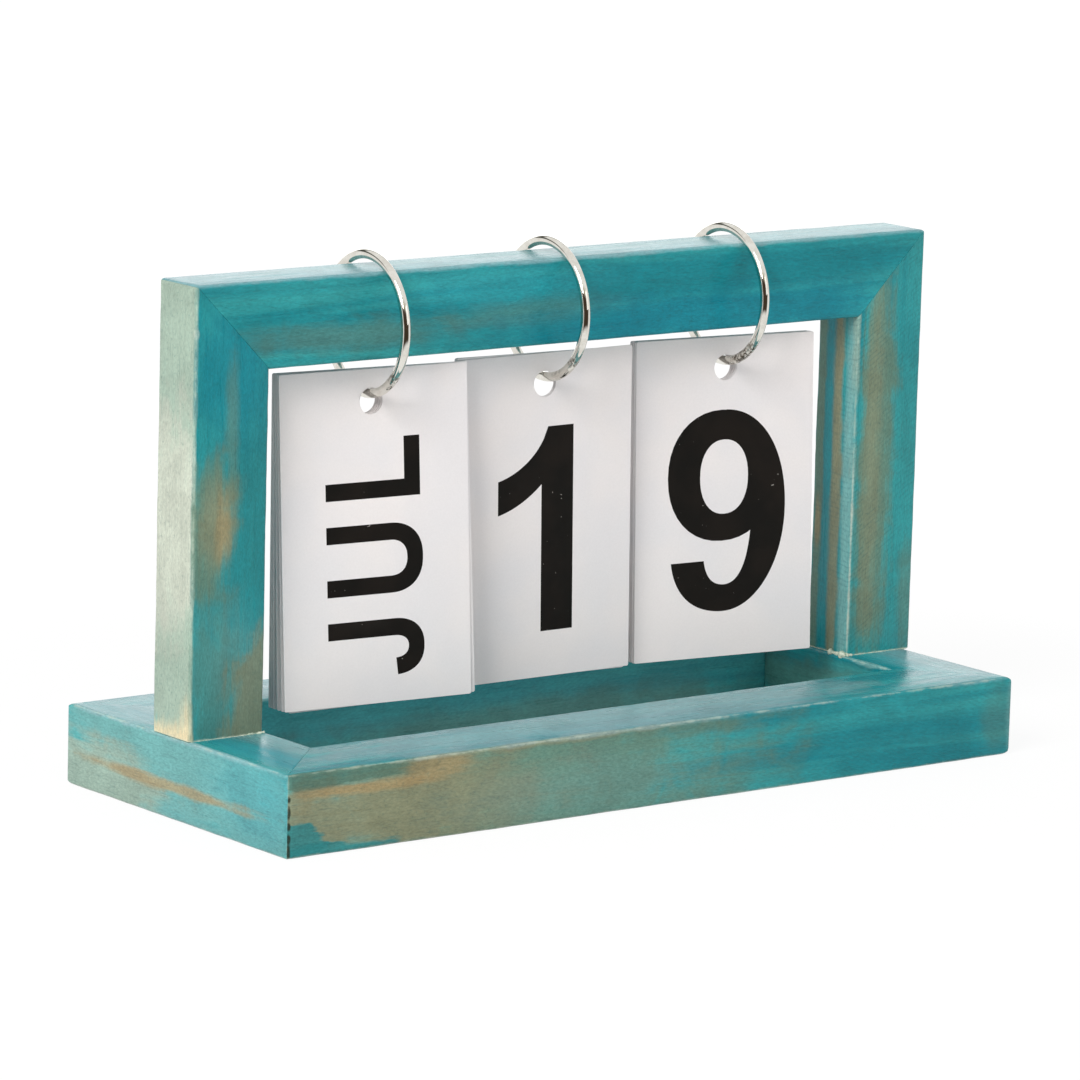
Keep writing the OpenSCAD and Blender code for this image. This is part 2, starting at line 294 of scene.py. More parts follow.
# Pale colour of the bars' edges: rubbed places and a painted highlight
PALE_WEAR_AND_HIGHLIGHT = srgb(204, 214, 196)
PATCH_COLOURS = {
    "olive": srgb(104, 132, 112),
    "tan": srgb(142, 138, 106),
    "orange": srgb(166, 142, 98),
    "cream": srgb(226, 208, 168),
    "sage": srgb(156, 174, 158),
    "pale": srgb(196, 201, 186),
    "deep": srgb(0, 130, 148),
    "bright": srgb(40, 156, 168),
    "light": srgb(114, 168, 166),
    "teal": srgb(40, 132, 134),
    # Pale milky finish of the top faces, lightened further as painted sheen
    "wash_and_sheen": srgb(150, 182, 188),
    "dark": srgb(78, 112, 98),
    "seam": srgb(34, 44, 30),
}
# How far the grain's noise moves from one bar to the next, so that no two bars look alike
GRAIN_SHIFT = (13.7, 7.9, 31.1)
# Darkest and lightest shade that each of the grain's noises gives
GRAIN_SHADES = {"Streaks": (0.93, 1.05), "Fibres": (0.84, 1.14), "Cloud": (0.9, 1.1)}
# Roughness of smooth and of open grain, and how much rougher the wood is under the patches
WOOD_ROUGH, PATCH_ROUGHER = (0.22, 0.34), 0.06
# How far the edges of the patches follow the soft clouds; for the rest they follow the streaks
CLOUD_SHARE = 0.6
# How strongly dark specks, open pores and the pale edges (partly rubbed, partly a painted highlight) show,
# from 0 to 1
SPECKS_SHOW, PORES_SHOW, WEAR_AND_HIGHLIGHT_SHOWS = 0.3, 0.22, 0.5
# How the grain's noise is drawn out for a bar along each axis
STRETCH = {"X": (0.07, 1.0, 1.0), "Y": (1.0, 0.07, 1.0), "Z": (1.0, 1.0, 0.07)}


def stained_wood(name, low, high, grain, seed, patches, saw, edge_wear_and_highlight_width):
    """Teal stain over a bar of wood: grain along one axis, worn patches, painted sheen and reflections, saw
    marks, and pale edges, partly rubbed and partly a painted highlight.
    """
    material, graph, shader, point = new_material(name + "_stain")
    shift = [seed * step for step in GRAIN_SHIFT]
    fibre = graph.effect(WOOD_GRAIN, Point=point, Stretch=STRETCH[grain], Shift=shift)
    streaks = fibre["Streaks"]
    colour = graph.mix(graph.between(fibre["Bands"], 0.34, 0.66), STAIN_DEEP, STAIN_LIGHT)
    ragged = graph.math("ADD", graph.times(fibre["Cloud"], CLOUD_SHARE),
                        graph.times(streaks, 1 - CLOUD_SHARE))
    patched = 0.0
    for kind, centre, size, strength, softness in patches:
        mask = graph.effect(SOFT_PATCH, Point=point, Centre=centre, Size=size, Ragged=ragged,
                            Strength=strength, Softness=softness)[0]
        colour = graph.mix(mask, colour, PATCH_COLOURS[kind])
        patched = graph.most(patched, mask)
    for label, (low_shade, high_shade) in GRAIN_SHADES.items():
        shade = graph.spread(fibre[label], low_shade, high_shade)
        colour = graph.mix(1.0, colour, shade, "MULTIPLY")
    across, depth = saw
    marks = graph.effect(SAW_MARKS, Point=point, Across=across)[0]
    specks = graph.between(graph.noise(point, 1.1, 4.0, 0.75), 0.54, 0.66)
    specks = graph.times(graph.times(specks, patched), SPECKS_SHOW)
    dark = graph.most(graph.times(fibre["Pores"], PORES_SHOW), graph.times(marks, depth))
    dark = graph.most(dark, specks)
    colour = graph.mix(dark, colour, PORE_DARK)
    # Edges made pale: rubbed places and a painted highlight
    worn_and_highlit_edge = graph.effect(EDGE_WEAR_AND_HIGHLIGHT, Point=point, Low=low, High=high, Width=edge_wear_and_highlight_width)[0]
    colour = graph.mix(graph.times(worn_and_highlit_edge, WEAR_AND_HIGHLIGHT_SHOWS), colour, PALE_WEAR_AND_HIGHLIGHT)
    rough = graph.spread(streaks, *WOOD_ROUGH)
    rough = graph.math("ADD", rough, graph.times(patched, PATCH_ROUGHER))
    feed(graph, shader, Base_Color=colour, Roughness=rough, Normal=relief(graph, fibre["Height"], 0.06, 0.6))
    shader.inputs["Specular IOR Level"].default_value = 0.2
    return material


# ---------------------------------------------------------------- mesh helpers


def add_object(name, data):
    obj = bpy.data.objects.new(name, data)
    bpy.context.scene.collection.objects.link(obj)
    return obj


def mesh_object(name, verts, faces, materials=()):
    mesh = bpy.data.meshes.new(name)
    mesh.from_pydata([tuple(v) for v in verts], [], faces)
    mesh.validate()
    for material in materials:
        mesh.materials.append(material)
    return add_object(name, mesh)


class Opened:
    """An object's mesh, open for changes that are written back at the end of a with block."""

    def __init__(self, obj):
        self.mesh, self.work = obj.data, bmesh.new()

    def __enter__(self):
        self.work.from_mesh(self.mesh)
        return self.work

    def __exit__(self, *problem):
        self.work.to_mesh(self.mesh)
        self.work.free()


def face_outwards(obj):
    """Merges doubles and turns every face of a closed mesh outwards."""
    with Opened(obj) as work:
        bmesh.ops.remove_doubles(work, verts=work.verts, dist=0.001 * MM)
        bmesh.ops.recalc_face_normals(work, faces=work.faces)
    return obj


def placed(obj, place):
    """Moves the points of a closed mesh, in millimetres, to where place puts them, in metres."""
    for vertex in obj.data.vertices:
        vertex.co = Vector(place(*vertex.co)) * MM
    return face_outwards(obj)


def smooth(obj, angle):
    """Shades smooth except across edges sharper than the angle, in degrees."""
    obj.data.shade_smooth()
    obj.data.set_sharp_from_angle(angle=math.radians(angle))


def baked(obj):
    """Replaces an object by the plain mesh that its modifiers make."""
    bpy.context.view_layer.update()
    evaluated = obj.evaluated_get(bpy.context.evaluated_depsgraph_get())
    mesh = bpy.data.meshes.new_from_object(evaluated)
    obj.modifiers.clear()
    obj.data = mesh
    return obj


def combine(obj, other, operation):
    """Cuts, joins or meets a closed mesh with another one, which stays as it is."""
    modifier = obj.modifiers.new(operation.lower(), "BOOLEAN")
    modifier.operation = operation
    modifier.solver = "MANIFOLD"
    modifier.object = other
    return baked(obj)


def box_mm(node):
    """A CAD node's lowest and highest corner, in millimetres."""
    return [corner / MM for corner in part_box(node)]


def tube_tree(name, inputs, build, material):
    """Geometry Nodes tree of a closed tube; build takes the graph and the inputs and returns the curves
    that make it."""
    tree = bpy.data.node_groups.new(name, "GeometryNodeTree")
    for label, kind in inputs.items():
        tree.interface.new_socket(name=label, in_out="INPUT", socket_type=kind)
    tree.interface.new_socket(name="Geometry", in_out="OUTPUT", socket_type="NodeSocketGeometry")
    graph = Graph(tree)
    curves = build(graph, graph.put("NodeGroupInput").outputs)
    tube = graph.out("GeometryNodeCurveToMesh", {**curves, "Fill Caps": True})
    tube = graph.out("GeometryNodeRealizeInstances", {"Geometry": tube})
    tube = graph.out("GeometryNodeSetMaterial", {"Geometry": tube, "Material": material})
    graph.put("NodeGroupOutput", {"Geometry": tube})
    return tree


def make_tube(name, tree, values):
    """Plain mesh of the tube that a tree makes from the values of its inputs."""
    sockets = {item.name: item.identifier for item in tree.interface.items_tree}
    tube = mesh_object(name, [], [])
    modifier = tube.modifiers.new("tube", "NODES")
    modifier.node_group = tree
    for label, value in values.items():
        modifier[sockets[label]] = value
    return baked(tube)


def stand_for(piece, node, body):
    """Lets a piece take a CAD node's place on its body."""
    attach(piece, body)
    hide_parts(node)


def prism(name, outline, bottom, top):
    """Closed prism over a flat outline, along Z."""
    n = len(outline)
    verts = [(x, y, bottom) for x, y in outline] + [(x, y, top) for x, y in outline]
    sides = [(i, (i + 1) % n, n + (i + 1) % n, n + i) for i in range(n)]
    return face_outwards(mesh_object(name, verts, sides + [tuple(range(n)), tuple(range(n, 2 * n))]))


def lathe(name, profile, steps=48):
    """Closed solid turned from a profile of (radius, height) points that starts and ends on the axis."""
    verts, rings = [], []
    for radius, height in profile:
        count = 1 if radius == 0 else steps
        rings.append(range(len(verts), len(verts) + count))
        for i in range(count):
            turn = 2 * math.pi * i / steps
            verts.append((radius * math.cos(turn), radius * math.sin(turn), height))
    faces = []
    for a, b in zip(rings, rings[1:]):
        for i in range(steps):
            quad = [a[i % len(a)], a[(i + 1) % len(a)], b[(i + 1) % len(b)], b[i % len(b)]]
            faces.append(tuple(dict.fromkeys(quad)))
    return face_outwards(mesh_object(name, verts, faces))


# ---------------------------------------------------------------- wooden bars

EDGE_ROUND = 0.85 * MM
# The rounding of a bar's edges varies by this share of it, as a noise does that moves on by these
# steps along the bar, from corner to corner and from bar to bar
EDGE_VARIES, WANDER_STEPS, WANDER_NOISE = 0.28, (0.16, 11.3, 5.1), (0.9, 2.0, 3)
# Points on a rounded corner and distance between two stations along a bar
CORNER_STEPS, BAR_STEP = 5, 1.5 * MM
# Softened rim at a bar's ends, and the gap that a mitre keeps
END_EASE, JOINT_GAP = 0.06 * MM, 0.01 * MM
# Rounding of the frame's corners in millimetres: its outline, the base's worn ends, and none
CORNER_ROUND, WORN_CORNER, SHARP = 1.4, 2.8, 0.01


def section(low, high, radii, inset):
    """Rectangle with four rounded corners, as a closed list of points."""
    points = []
    corners = [(high[0], high[1], 0), (low[0], high[1], 90), (low[0], low[1], 180), (high[0], low[1], 270)]
    for (x, y, start), radius in zip(corners, radii):
        side_x = 1 if x == high[0] else -1
        side_y = 1 if y == high[1] else -1
        cx, cy = x - side_x * radius, y - side_y * radius
        for k in range(CORNER_STEPS):
            turn = math.radians(start + 90 * k / (CORNER_STEPS - 1))
            reach = radius - inset
            points.append((cx + reach * math.cos(turn), cy + reach * math.sin(turn)))
    return points


def wooden_bar(node, along, mitre_axis, outer, mitres, seed):
    """Bar of wood in the place of a CAD rail, with softened edges and mitred or square ends.
    outer is -1 or 1 for the mitre axis's outer side; mitres says which ends are mitred."""
    low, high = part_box(node)
    a, m = "XYZ".index(along), "XYZ".index(mitre_axis)
    n = 3 - a - m
    count = max(2, round((high[a] - low[a]) / BAR_STEP))
    stations = [(0.0, 0.0, END_EASE), (0.0, END_EASE, 0.0)]
    stations += [(k / count, 0.0, 0.0) for k in range(1, count)]
    stations += [(1.0, -END_EASE, 0.0), (1.0, 0.0, END_EASE)]
    verts, faces = [], []
    for share, offset, inset in stations:
        radii = []
        for corner in range(4):
            spot = [step * way for step, way in zip(WANDER_STEPS, (share * count, corner, seed))]
            radii.append(EDGE_ROUND * (1 + EDGE_VARIES * noise.fractal(spot, *WANDER_NOISE)))
        for p, q in section((low[m], low[n]), (high[m], high[n]), radii, inset):
            depth = p - low[m] if outer < 0 else high[m] - p
            start = low[a] + (depth + JOINT_GAP if mitres[0] else 0)
            end = high[a] - (depth + JOINT_GAP if mitres[1] else 0)
            place = [0.0, 0.0, 0.0]
            place[a] = start + (end - start) * share + offset
            place[m], place[n] = p, q
            verts.append(place)
    ring = 4 * CORNER_STEPS
    for k in range(len(stations) - 1):
        for i in range(ring):
            j = (i + 1) % ring
            faces.append((k * ring + i, k * ring + j, (k + 1) * ring + j, (k + 1) * ring + i))
    faces.append(tuple(range(ring)))
    faces.append(tuple(range((len(stations) - 1) * ring, len(stations) * ring)))
    return face_outwards(mesh_object(node + "_wood", verts, faces))


# Sizes of the nails and screws in millimetres, and the wood's gap round them
NAIL_LEG, NAIL_T, SINK, WOOD_GAP = 5.0, 0.5, 0.3, 0.05
SCREW_HEAD, SCREW_RIM, SCREW_CONE, SCREW_SHANK, SCREW_TIP = 3.5, 0.3, 2.4, 1.75, 3.5


def nail_slot(depth, place):
    """Slot round a corner nail, open at the wood's face; place turns its own axes into a point."""
    g, t, leg = WOOD_GAP, NAIL_T + WOOD_GAP, NAIL_LEG + WOOD_GAP
    outline = [(-g, -g), (leg, -g), (leg, t), (t, t), (t, leg), (-g, leg)]
    return placed(prism("slot", outline, -2 * SINK, depth + WOOD_GAP), place)


def cutters():
    """The nail slots and screw holes of the frame, each with the bars that it is cut from."""
    tools = []
    low, high = box_mm("base_corner_nails")
    for sx in (-1, 1):
        for sy in (-1, 1):
            def place(u, v, w, sx=sx, sy=sy):
                return (sx * (high.x - u), sy * (high.y - v), low.z + w)
            side = "base_left_rail" if sx < 0 else "base_right_rail"
            end = "base_front_rail" if sy < 0 else "base_rear_rail"
            tools.append((nail_slot(high.z - low.z, place), (side, end)))
    low, high = box_mm("top_corner_nails")
    for sx in (-1, 1):
        def place(u, v, w, sx=sx):
            return (sx * (high.x - u), high.y - w, high.z - v)
        post = "left_post" if sx < 0 else "right_post"
        tools.append((nail_slot(high.y - low.y, place), (post, "top_rail")))
    low, high = box_mm("post_screws")
    g, middle_y = WOOD_GAP, (low.y + high.y) / 2
    for sx in (-1, 1):
        profile = [(0, -1), (SCREW_HEAD + g, -1), (SCREW_HEAD + g, low.z + SCREW_RIM),
                   (SCREW_SHANK + g, low.z + SCREW_RIM + SCREW_CONE),
                   (SCREW_SHANK + g, high.z - SCREW_TIP), (0, high.z + g)]
        middle = Vector((sx * (high.x - SCREW_HEAD), middle_y, 0))
        hole = placed(lathe("hole", profile), lambda *co, middle=middle: Vector(co) + middle)
        side, post = ("base_left_rail", "left_post") if sx < 0 else ("base_right_rail", "right_post")
        tools.append((hole, (side, post)))
    return tools


# Each bar: the axis it runs along, the axis across its mitres, which side is the outer one and which
# ends are mitred
BARS = {
    "base_front_rail": ("X", "Y", -1, (True, True)),
    "base_rear_rail": ("X", "Y", 1, (True, True)),
    "base_left_rail": ("Y", "X", -1, (True, True)),
    "base_right_rail": ("Y", "X", 1, (True, True)),
    "left_post": ("Z", "X", -1, (False, True)),
    "right_post": ("Z", "X", 1, (False, True)),
    "top_rail": ("X", "Z", 1, (True, True)),
}

# Dashes of the open seam at the base's front left corner: height and half length in millimetres
SEAM_DASHES = ((12.6, 0.7), (9.9, 1.6), (7.0, 0.8), (4.3, 1.0), (1.3, 1.6))
# Patches of each bar, worn ones and the painted sheen and painted reflections on the tops: kind, centre and
# half size in millimetres, strength and softness of the edge
PATCHES = {
    "base_front_rail": [
        ("olive", (-42, -42, 9), (60, 0.9, 22), 0.85, 0.5),
        ("tan", (-74, -42, 8), (40, 0.9, 10), 0.75, 0.5),
        ("light", (-20, -42, 6), (30, 0.9, 7), 0.25, 0.6),
        ("dark", (-92, -42, 16.4), (31, 0.9, 2.1), 0.8, 0.12),
        ("orange", (-80, -42, 13.2), (17, 0.9, 1.2), 0.7, 0.5),
        ("orange", (-61, -42, 15.6), (8, 0.9, 2.4), 0.6, 0.5),
        ("tan", (-98, -42, 11.6), (5, 0.9, 2.2), 0.5, 0.6),
        ("tan", (-34, -42, 17.7), (30, 0.9, 0.8), 0.6, 0.5),
        ("teal", (-99, -42, 0), (9, 0.9, 6.6), 0.9, 0.12),
        ("teal", (-88, -42, 0), (15, 0.9, 2.4), 0.9, 0.15),
        ("olive", (95, -42, 8), (4, 0.9, 7), 0.25, 0.7),
        ("light", (99.5, -42, 9), (1.2, 0.9, 12), 0.4, 0.6),
        *[("seam", (-99.4, -42, z), (0.34, 0.9, reach), 0.95, 0.4) for z, reach in SEAM_DASHES],
        # Pale milky finish on the top, lightened further as painted sheen
        ("wash_and_sheen", (-15, -32, 18), (74, 12, 0.9), 0.5, 0.4),
        ("wash_and_sheen", (90, -36, 18), (12, 8, 0.9), 0.4, 0.4),
    ],
    "base_left_rail": [
        ("light", (-100, 0, 12), (0.9, 60, 22), 0.8, 0.4),
        ("sage", (-100, 34, 4), (0.9, 30, 8), 0.8, 0.4),
        ("bright", (-100, -30, 11), (0.9, 16, 9), 0.4, 0.6),
        ("orange", (-100, 1, 7.2), (0.9, 29, 1.3), 0.75, 0.5),
        # Pale milky finish on the top, lightened further as painted sheen
        ("wash_and_sheen", (-92, 26, 18), (12, 20, 0.9), 0.5, 0.4),
        ("wash_and_sheen", (-84, -20, 18), (5, 16, 0.9), 0.35, 0.4),
        # Painted reflection of the left post in the glossy top: a deep teal patch in front of the post
        ("bright", (-93, -24, 18), (5, 16, 0.9), 0.6, 0.4),
        # Pale line along the top's outer edge: milky finish, lightened further as painted sheen and highlight
        ("wash_and_sheen", (-100, -6, 18), (0.8, 50, 0.8), 0.5, 0.5),
    ],
    "base_right_rail": [
        ("olive", (80, 5, 10), (0.9, 30, 5), 0.5, 0.5),
        # Pale milky finish on the top, lightened further as painted sheen
        ("wash_and_sheen", (94, -20, 18), (8, 22, 0.9), 0.5, 0.4),
        ("olive", (84, 24, 18), (5, 12, 0.9), 0.4, 0.5),
        # Painted reflection of the right post in the glossy top: a teal patch in front of the post
        ("bright", (86, -16, 18), (4, 12, 0.9), 0.35, 0.5),
        ("light", (80.4, -14.5, 18), (0.5, 7.5, 0.9), 0.8, 0.3),
        ("olive", (100, 10, 9), (0.9, 26, 7), 0.5, 0.5),
        ("tan", (100, -8, 12), (0.9, 22, 2), 0.5, 0.4),
    ],
    "base_rear_rail": [
        # These two patches lighten the inner face, which lies in shade, most on the left: painted fill light
        ("bright", (-40, 22, 13), (70, 0.9, 8), 0.5, 0.6),
        ("light", (0, 22, 10), (120, 0.9, 16), 0.25, 0.6),
        ("olive", (10, 22, 5), (60, 0.9, 5), 0.45, 0.6),
        # Pale milky finish on the top, lightened further as painted sheen
        ("wash_and_sheen", (0, 32, 18), (110, 12, 0.9), 0.5, 0.5),
        ("tan", (30, 42, 8), (40, 0.9, 5), 0.6, 0.5),
        ("orange", (44, 42, 8.4), (18, 0.9, 1.4), 0.5, 0.5),
        ("olive", (-50, 42, 12), (34, 0.9, 4), 0.6, 0.5),
    ],
    "left_post": [
        ("sage", (-100, 1.3, 70), (0.7, 30, 90), 0.95, 0.3),
        ("pale", (-100, 1.3, 64), (0.8, 30, 22), 0.85, 0.4),
        ("cream", (-100, 1.3, 17), (0.9, 30, 4), 0.75, 0.6),
        ("cream", (-100, -4.6, 19), (0.9, 3, 7), 0.6, 0.6),
        ("pale", (-100, -5.7, 105), (0.9, 0.9, 1.3), 0.8, 0.3),
        ("teal", (-89, -5.7, 74), (16, 0.9, 60), 0.6, 0.5),
        ("deep", (-90, -5.7, 98), (9, 0.9, 15), 0.55, 0.6),
        ("light", (-88, -5.7, 34), (7, 0.9, 13), 0.3, 0.6),
        ("olive", (-92, 8.3, 52), (5, 0.9, 26), 0.6, 0.5),
        ("olive", (-95.5, -5.7, 64), (7, 0.9, 14), 0.75, 0.4),
        ("tan", (-93.6, -5.7, 64), (4.4, 0.9, 8.5), 0.6, 0.5),
        ("orange", (-92.2, -5.7, 62), (1.8, 0.9, 7), 0.5, 0.6),
        ("olive", (-90.4, -5.7, 86), (1.6, 0.9, 12), 0.45, 0.6),
        ("olive", (-95, -5.7, 32), (8, 0.9, 20), 0.35, 0.6),
        ("tan", (-80.5, -5.7, 20), (8.6, 0.9, 21), 0.7, 0.3),
    ],
    "right_post": [
        ("olive", (87.5, -5.7, 62), (5.2, 0.9, 58), 0.85, 0.4),
        ("tan", (90, 8.3, 72), (3, 0.9, 22), 0.5, 0.5),
        ("light", (100, 1.3, 84), (0.9, 5, 24), 0.4, 0.5),
        ("tan", (100, 1.3, 34), (0.9, 4, 14), 0.5, 0.5),
        ("tan", (86.4, -5.7, 62), (2.6, 0.9, 40), 0.5, 0.6),
        ("olive", (98, -5.7, 30), (2.4, 0.9, 14), 0.5, 0.6),
        ("light", (81, -3.9, 58), (0.9, 1.9, 70), 0.95, 0.5),
        ("sage", (81, -5.6, 96), (0.9, 1.6, 28), 0.6, 0.5),
        ("tan", (81, 0.4, 58), (0.9, 1.8, 70), 0.8, 0.4),
        ("tan", (81, 0.4, 80), (0.9, 1.1, 30), 0.5, 0.6),
        ("bright", (81, 3.4, 50), (0.9, 1.3, 60), 0.5, 0.6),
        ("olive", (81, 6.4, 58), (0.9, 1.4, 70), 0.85, 0.4),
        ("orange", (81, 6.2, 47), (0.9, 0.9, 5), 0.6, 0.5),
        # Pale line along the post's inner front edge: partly rubbed, partly a painted highlight
        ("pale", (81, -5.7, 38), (0.42, 0.42, 34), 0.7, 0.4),
    ],
    "top_rail": [
        ("olive", (-60, -5.7, 102), (26, 0.9, 3.4), 0.42, 0.6),
        ("olive", (-12, -5.7, 104), (20, 0.9, 3.0), 0.3, 0.6),
        ("olive", (26, 8.3, 104), (34, 0.9, 3.4), 0.6, 0.6),
        ("bright", (-22, -5.7, 110), (26, 0.9, 4.0), 0.5, 0.6),
        ("deep", (44, -5.7, 99.5), (52, 0.9, 5.4), 0.85, 0.6),
        # The top face: pale milky finish lightened further as painted sheen, with a lighter and a darker
        # streak along it
        ("wash_and_sheen", (0, 1.3, 115.24), (160, 12, 0.8), 0.7, 0.5),
        ("light", (-20, 3.4, 115.24), (90, 0.9, 0.9), 0.5, 0.6),
        ("teal", (40, 6.9, 115.24), (70, 1.2, 0.9), 0.45, 0.6),
    ],
}
# Saw marks of each bar: the direction across them and how dark they are
SAW_MARKED = {
    "base_front_rail": ((0.4, 0.0, 0.92), 0.16),
    "base_rear_rail": ((0.5, 0.0, -0.85), 0.15),
    "base_left_rail": ((0.0, 0.5, 0.85), 0.1),
    "base_right_rail": ((0.0, -0.5, 0.85), 0.15),
    "left_post": ((0.7, 0.5, 0.5), 0.06),
    "right_post": ((0.5, 0.1, -0.85), 0.28),
    "top_rail": ((0.25, 0.0, 0.95), 0.12),
}
# Width of the pale stretch along each bar's edges, partly rubbed and partly a painted highlight, in
# millimetres
EDGE_WEAR_AND_HIGHLIGHT_WIDTH = {"top_rail": 0.2, "left_post": 0.45, "right_post": 0.45}
BASE_EDGE_WEAR_AND_HIGHLIGHT_WIDTH = 0.55


def rounded_blank(low, high, axes, radii, reach):
    """Block with rounded corners, drawn in the plane of the two axes and running along the third one."""
    def place(*co):
        point = [0.0, 0.0, 0.0]
        point[axes[0]], point[axes[1]], point[3 - sum(axes)] = co
        return point
    return placed(prism("blank", section(low, high, radii, 0.0), -reach, reach), place)


def round_corners(bars):
    """Rounds the outer corners of the base and of the upright by meeting their bars with rounded blanks."""
    low, high = (corner / MM for corner in cad_box)
    reach = high.x + high.z
    base_top, top = (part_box(node)[1].z / MM for node in ("base_front_rail", "top_rail"))
    outer = [CORNER_ROUND] * 4
    worn = [WORN_CORNER, SHARP, SHARP, WORN_CORNER]
    blanks = [("base", rounded_blank((low.x, low.y), (high.x, high.y), (0, 1), outer, reach)),
              ("base", rounded_blank((low.x, 0.0), (high.x, base_top), (0, 2), worn, reach)),
              ("base", rounded_blank((low.y, 0.0), (high.y, base_top), (1, 2), worn, reach)),
              ("upright", rounded_blank((low.x, -top), (high.x, top), (0, 2), outer, reach))]
    for part, blank in blanks:
        for node, piece in bars.items():
            if node.startswith("base") == (part == "base"):
                combine(piece, blank, "INTERSECT")
        bpy.data.objects.remove(blank)


def make_wood():
    """The seven bars of the base and the upright, with the slots and holes of their nails and screws."""
    bars = {}
    for seed, (node, (along, across, outer, mitres)) in enumerate(BARS.items()):
        bars[node] = wooden_bar(node, along, across, outer, mitres, seed)
        stain = stained_wood(node, *box_mm(node), along, seed + 1, PATCHES[node], SAW_MARKED[node],
                             EDGE_WEAR_AND_HIGHLIGHT_WIDTH.get(node, BASE_EDGE_WEAR_AND_HIGHLIGHT_WIDTH))
        bars[node].data.materials.append(stain)
    for tool, names in cutters():
        for node in names:
            combine(bars[node], tool, "DIFFERENCE")
        bpy.data.objects.remove(tool)
    round_corners(bars)
    for node, piece in bars.items():
        smooth(piece, 40)
        stand_for(piece, node, "frame")


# ---------------------------------------------------------------- glue

# Squeezed-out glue at the feet of the posts: start and end in millimetres, and radius
BEADS = [
    ((-99.5, -5.72, 18.0), (-82.0, -5.72, 18.0), 0.14),
    ((-85.0, -5.8, 18.05), (-80.9, -5.8, 18.1), 0.32),
    ((80.95, -5.6, 18.0), (80.95, 8.0, 18.0), 0.2),
    ((80.6, -5.8, 18.1), (80.6, -0.5, 18.1), 0.72),
    ((80.8, -5.9, 18.1), (82.4, -5.9, 18.05), 0.55),
    ((83.0, -5.74, 18.0), (99.0, -5.74, 18.0), 0.16),
    ((-99.0, 8.32, 18.0), (-82.0, 8.32, 18.0), 0.16),
    ((82.0, 8.32, 18.0), (99.0, 8.32, 18.0), 0.18),
]
GLUE_CLEAN, GLUE_DIRTY = srgb(206, 212, 192), srgb(140, 164, 148)


def glue_material():
    material, graph, shader, point = new_material("dried_glue")
    dirt = graph.between(graph.noise(point, 0.9, 3.0, 0.6), 0.4, 0.65)
    feed(graph, shader, Base_Color=graph.mix(dirt, GLUE_CLEAN, GLUE_DIRTY),
         Roughness=graph.between(dirt, 0.0, 1.0, 0.3, 0.5))
    return material


# Distance between two rims of a bead, points on a rim, and how closely its lumps stand
BEAD_STEP, BEAD_SIDES, LUMP_SCALE = 0.35, 10, 0.9


def build_bead(graph, inputs):
    """Lumpy bead along a straight line: its radius wanders by a noise with its own seed."""
    ends = {"Start": inputs["Start"], "End": inputs["End"]}
    line = graph.out("GeometryNodeCurvePrimitiveLine", ends)
    values = {"Curve": line, "Length": BEAD_STEP * MM}
    line = graph.out("GeometryNodeResampleCurve", values, mode="LENGTH")
    place = graph.out("GeometryNodeInputPosition")
    values = {"Vector": place, "W": inputs["Seed"], "Scale": LUMP_SCALE / MM, "Detail": 3.0}
    lumps = graph.out("ShaderNodeTexNoise", values, noise_dimensions="4D")
    swell = graph.between(lumps, 0.35, 0.7, 0.35, 1.35)
    radius = graph.times(inputs["Radius"], swell)
    values = {"Resolution": BEAD_SIDES, "Radius": 1.0}
    rim = graph.out("GeometryNodeCurvePrimitiveCircle", values)
    return {"Curve": line, "Profile Curve": rim, "Scale": radius}


def make_glue():
    dried = glue_material()
    inputs = {"Start": VECTOR, "End": VECTOR, "Radius": NUMBER, "Seed": NUMBER}
    tree = tube_tree("glue_bead", inputs, build_bead, dried)
    work = bmesh.new()
    for seed, (start, end, radius) in enumerate(BEADS):
        values = {"Start": [value * MM for value in start], "End": [value * MM for value in end],
                  "Radius": radius * MM, "Seed": float(seed)}
        bead = make_tube("bead", tree, values)
        work.from_mesh(bead.data)
        bpy.data.objects.remove(bead)
    glue = mesh_object("glue_beads", [], [], [dried])
    work.to_mesh(glue.data)
    work.free()
    face_outwards(glue)
    smooth(glue, 60)
    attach(glue, "frame")


# ---------------------------------------------------------------- paper and ink

PAPER_WARM, PAPER_COOL = srgb(234, 228, 227), srgb(229, 225, 226)
INK_BLACK, INK_BROWN, INK_SPECK = srgb(15, 13, 10), srgb(24, 19, 15), srgb(150, 145, 140)


def paper_material():
    material, graph, shader, point = new_material("card_paper")
    fibre = graph.noise(point, 2.2, 5.0, 0.7)
    cloud = graph.noise(point, 0.05, 2.0)
    colour = graph.mix(graph.between(cloud, 0.35, 0.65), PAPER_WARM, PAPER_COOL)
    colour = graph.mix(1.0, colour, graph.spread(fibre, 0.975, 1.01), "MULTIPLY")
    feed(graph, shader, Base_Color=colour, Roughness=graph.spread(fibre, 0.5, 0.62),
         Normal=relief(graph, fibre, 0.02, 0.5))
    shader.inputs["Specular IOR Level"].default_value = 0.25
    return material


def ink_material():
    material, graph, shader, point = new_material("printing_ink")
    grit = graph.noise(point, 0.55, 0.0)
    specks = graph.between(graph.noise(point, 1.7, 0.0), 0.83, 0.86)
    specks = graph.times(specks, graph.between(grit, 0.5, 0.6))
    tone = graph.mix(graph.spread(graph.noise(point, 0.12, 2.0)), INK_BLACK, INK_BROWN)
    feed(graph, shader, Base_Color=graph.mix(specks, tone, INK_SPECK),
         Roughness=graph.spread(grit, 0.45, 0.55))
    shader.inputs["Specular IOR Level"].default_value = 0.12
    return material


# ---------------------------------------------------------------- lettering

# Glyphs stand on a baseline and are 100 high. Each is a list of flat pieces, which may overlap.
LETTER_STEM, LETTER_BAR = 16.0, 16.8
DIGIT_STEM, DIGIT_BAR = 18.5, 15.2
ARC_STEPS = 40


